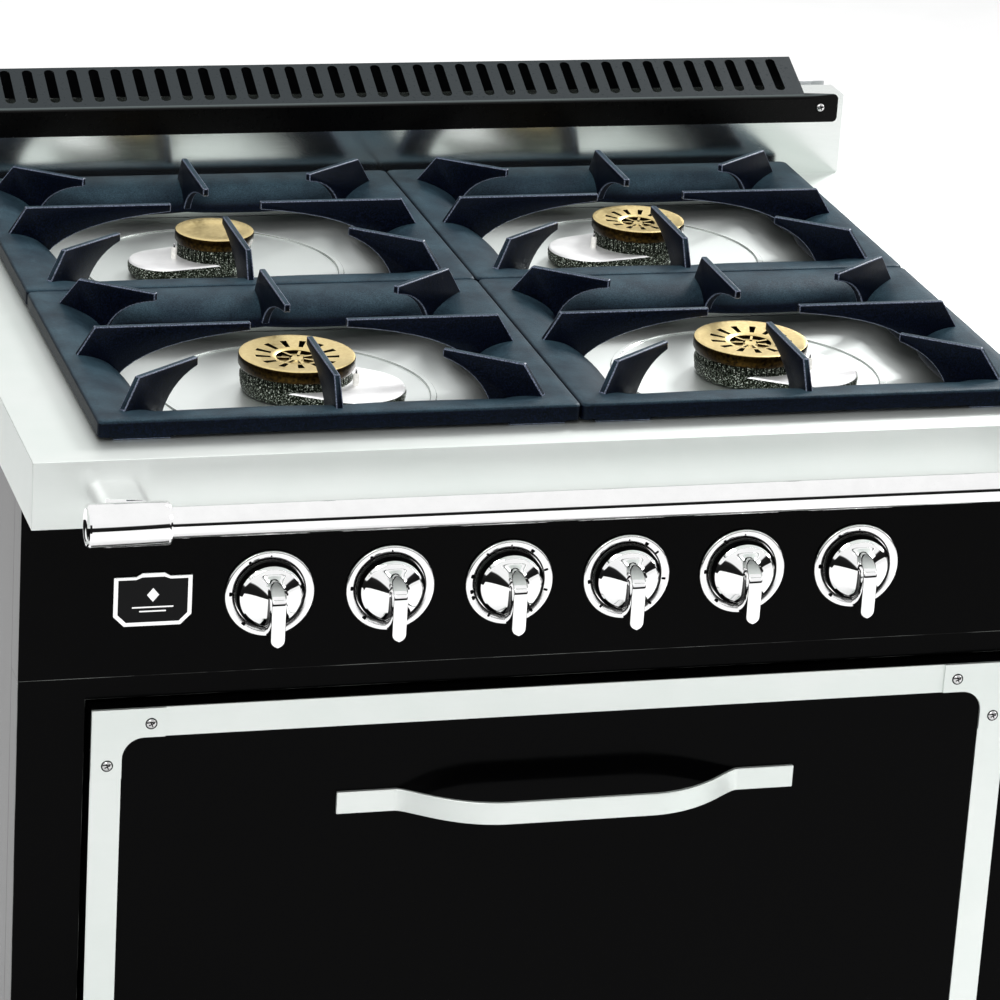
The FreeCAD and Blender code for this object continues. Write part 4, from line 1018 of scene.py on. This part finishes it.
def towel_bar():
    """Polished bar, turned end sleeves with a recessed cap, and flat-oval posts."""
    lo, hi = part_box("towel_bar")
    _, y, z = middle("towel_bar")
    r = (hi.z - lo.z) / 2
    bm = bmesh.new()
    count = 64
    loops = [[(x, y + v, z + u) for u, v in circle(r, count)]
             for x in (lo.x, -0.15, 0.15, hi.x)]
    add_loops(bm, loops)
    piece = finish(link("polished_bar", bm, [polished]))
    settle(piece, "range_body", "chrome", "towel_bar")
    for side, sign in (("left", -1), ("right", 1)):
        blo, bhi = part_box("bar_bracket_" + side)
        out, inn = (bhi.x, blo.x) if sign > 0 else (blo.x, bhi.x)
        sleeve = (bhi.z - blo.z) / 2
        inwards = -sign
        length = abs(inn - out)
        bm = bmesh.new()
        # each ring as (radius, distance from the outer end), in millimetres
        edge, end = sleeve / MM, length / MM
        rings = [(0.0, 2.2), (edge - 4.5, 1.8), (edge - 3.0, 0.3), (edge - 1.2, 0.0), (edge, 1.4),
                 (edge, end - 3.4), (edge - 0.5, end - 2.8), (edge - 0.5, end - 2.2),
                 (edge, end - 1.6), (edge - 0.6, end - 0.4), (edge - 2.0, end),
                 (r / MM + 0.05, end)]
        loops = [[(out + inwards * s * MM, y + v, z + u)
                  for u, v in circle(max(q * MM, TINY), count)] for q, s in rings]
        add_loops(bm, loops)
        piece = finish(link("bar_sleeve_" + side, bm, [polished]))
        settle(piece, "range_body", "chrome", "bar_bracket_" + side)
        bm = bmesh.new()
        mid = (blo.x + bhi.x) / 2
        outline = rounded_rectangle(POST_HALF_WIDTH, POST_HALF_HEIGHT,
                                    POST_HALF_HEIGHT - TINY, 2, 12)
        root = fascia_y - 0.02 * MM
        add_loops(bm, [[(mid + u, root - depth, z + POST_RISE + v) for u, v in outline]
                       for depth in (0.0, POST_LENGTH)])
        post = finish(link("bar_post_" + side, bm, [polished]))
        settle(post, "range_body", "chrome")


# ---- legs ----
def legs():
    """A round foot, a tapered shank and the screw above it."""
    shank = [(0.0, 0.0), (19.5, 0.0), (21.6, 1.2), (22, 3), (22, 9), (20.5, 11.6), (14.4, 12.4),
             (13, 14), (13.4, 30), (15.2, 84), (16, 88), (16, 98.4), (15, 99.6), (6, 99.6)]
    for place in QUARTERS:
        node = "leg_" + place
        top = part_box(node)[1].z
        bm = bmesh.new()
        add_lathe(bm, [(q * MM, z * MM) for q, z in shank]
                  + [(6 * MM, top - 1 * MM), (5 * MM, top), (0.0, top)], 48)
        x, y, _ = middle(node)
        bm.transform(Matrix.Translation((x, y, 0)))
        piece = finish(link("turned_" + node, bm, [satin_chrome]))
        settle(piece, node, "leg_steel", node)


# ---- nodes that keep their CAD shape ----
PLAIN = (("back_panel", galvanised), ("base_frame", galvanised), ("drawer_runners", galvanised),
         ("drawer_tray", galvanised), ("hinge_pins", screw_steel), ("gas_valves", brass),
         ("gas_manifold", black_pipe), ("gas_tubes", deck_metal), ("oven_liner", oven_enamel),
         ("door_inner_panel", oven_enamel), ("oven_insulation", wool),
         ("rack_guides", satin_chrome), ("oven_rack_lower", satin_chrome),
         ("oven_rack_upper", satin_chrome), ("oven_burner", black_pipe), ("door_seal", rubber),
         ("power_gland", plastic))


def plain_nodes():
    """Each of these nodes keeps its own shape and gets a material."""
    for node, material in PLAIN:
        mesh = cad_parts[node].data
        mesh.materials.clear()
        mesh.materials.append(material)


# ---- stage: camera, floor and light ----
EYE = (-1.0487, -3.2485, 1.2279)   # from the cooktop's front edge at its middle
FLOOR_CENTRE = (3, 2.4)
BACKDROP = 0.96
SKY = ((0.0, 0.01), (0.13, 0.02), (0.18, 0.95), (0.60, 1.0))   # (height, light)
# each as (name, place, target, size, watts)
LIGHTS = (("key", (-1.4, -2.6, 3.6), (0, 0, 0.9), (1.6, 1.2), 60),
          ("rear_right", (2.4, 2.2, 2.9), (0, 0, 0.95), (0.9, 0.9), 110),
          ("right_side", (3.2, -0.8, 2.0), (0, 0, 0.8), (1.4, 1.8), 20))


def camera():
    """Stands at the left front, above the cooktop, and looks down at the front half."""
    azimuth, elevation, roll = (math.radians(v) for v in (16.65, 20.61, 3.58))
    forward = Vector((math.sin(azimuth) * math.cos(elevation),
                      math.cos(azimuth) * math.cos(elevation), -math.sin(elevation)))
    level = Vector((math.cos(azimuth), -math.sin(azimuth), 0))
    up = level.cross(forward)
    right = math.cos(roll) * level + math.sin(roll) * up
    top = -math.sin(roll) * level + math.cos(roll) * up
    data = bpy.data.cameras.new("camera")
    data.lens = 162.44
    data.sensor_width = 36
    eye = bpy.data.objects.new("camera", data)
    turn = Matrix((right, top, -forward)).transposed().to_4x4()
    place = (EYE[0], fascia_y + EYE[1], surface_z + EYE[2])
    eye.matrix_world = Matrix.Translation(place) @ turn
    bpy.context.scene.collection.objects.link(eye)
    bpy.context.scene.camera = eye


def area_light(name, place, target, size, power):
    """A soft box of this size and power that faces its target."""
    data = bpy.data.lights.new(name, "AREA")
    data.shape = "RECTANGLE"
    data.size, data.size_y = size
    data.energy = power
    lamp = bpy.data.objects.new(name, data)
    lamp.location = place
    aim = Vector(target) - Vector(place)
    lamp.rotation_euler = aim.to_track_quat("-Z", "Y").to_euler()
    bpy.context.scene.collection.objects.link(lamp)


def stage():
    """Pale floor, a bright sky that darkens at the horizon, and three soft boxes."""
    bm = bmesh.new()
    cx, cy = FLOOR_CENTRE
    outline = [(x + cx, y + cy) for x, y in rounded_rectangle(5.6, 6.8, 2, corner=8)]
    add_prism(bm, outline, -0.02, 0.0)
    s = Shader("pale_floor").set(Specular_IOR_Level=0.1)
    s.colour(s.ramp(s.noise(0.01), (0.3, 0.90), (0.7, 0.92)))
    s.roughness(s.ramp(s.noise(0.02), (0.3, 0.60), (0.7, 0.66)))
    link("studio_floor", bm, [s.mat])
    world = bpy.data.worlds.new("studio")
    bpy.context.scene.world = world
    world.use_nodes = True
    nodes, links = world.node_tree.nodes, world.node_tree.links
    where = nodes.new("ShaderNodeTexCoord").outputs["Generated"]
    split = nodes.new("ShaderNodeSeparateXYZ")
    ramp = nodes.new("ShaderNodeValToRGB")
    links.new(where, split.inputs["Vector"])
    links.new(split.outputs["Z"], ramp.inputs["Fac"])
    elements = ramp.color_ramp.elements
    while len(elements) < len(SKY):
        elements.new(0.5)
    for element, (position, value) in zip(elements, SKY):
        element.position = position
        element.color = (value, value, value, 1)
    seen = nodes.new("ShaderNodeMix")
    seen.data_type = "RGBA"
    seen.inputs["B"].default_value = (BACKDROP, BACKDROP, BACKDROP, 1)
    links.new(nodes.new("ShaderNodeLightPath").outputs["Is Camera Ray"], seen.inputs["Factor"])
    links.new(ramp.outputs["Color"], seen.inputs["A"])
    background = nodes["Background"]
    links.new(seen.outputs["Result"], background.inputs["Color"])
    background.inputs["Strength"].default_value = 1.0
    for light in LIGHTS:
        area_light(*light)
    view = bpy.context.scene.view_settings
    view.view_transform = "Standard"
    view.look = "None"
    view.exposure = 0.0


camera()
stage()
casing()
door()
screws()
grates()
burner_caps()
burner_bases()
electrodes()
knobs()
bezels()
badge()
towel_bar()
legs()
plain_nodes()
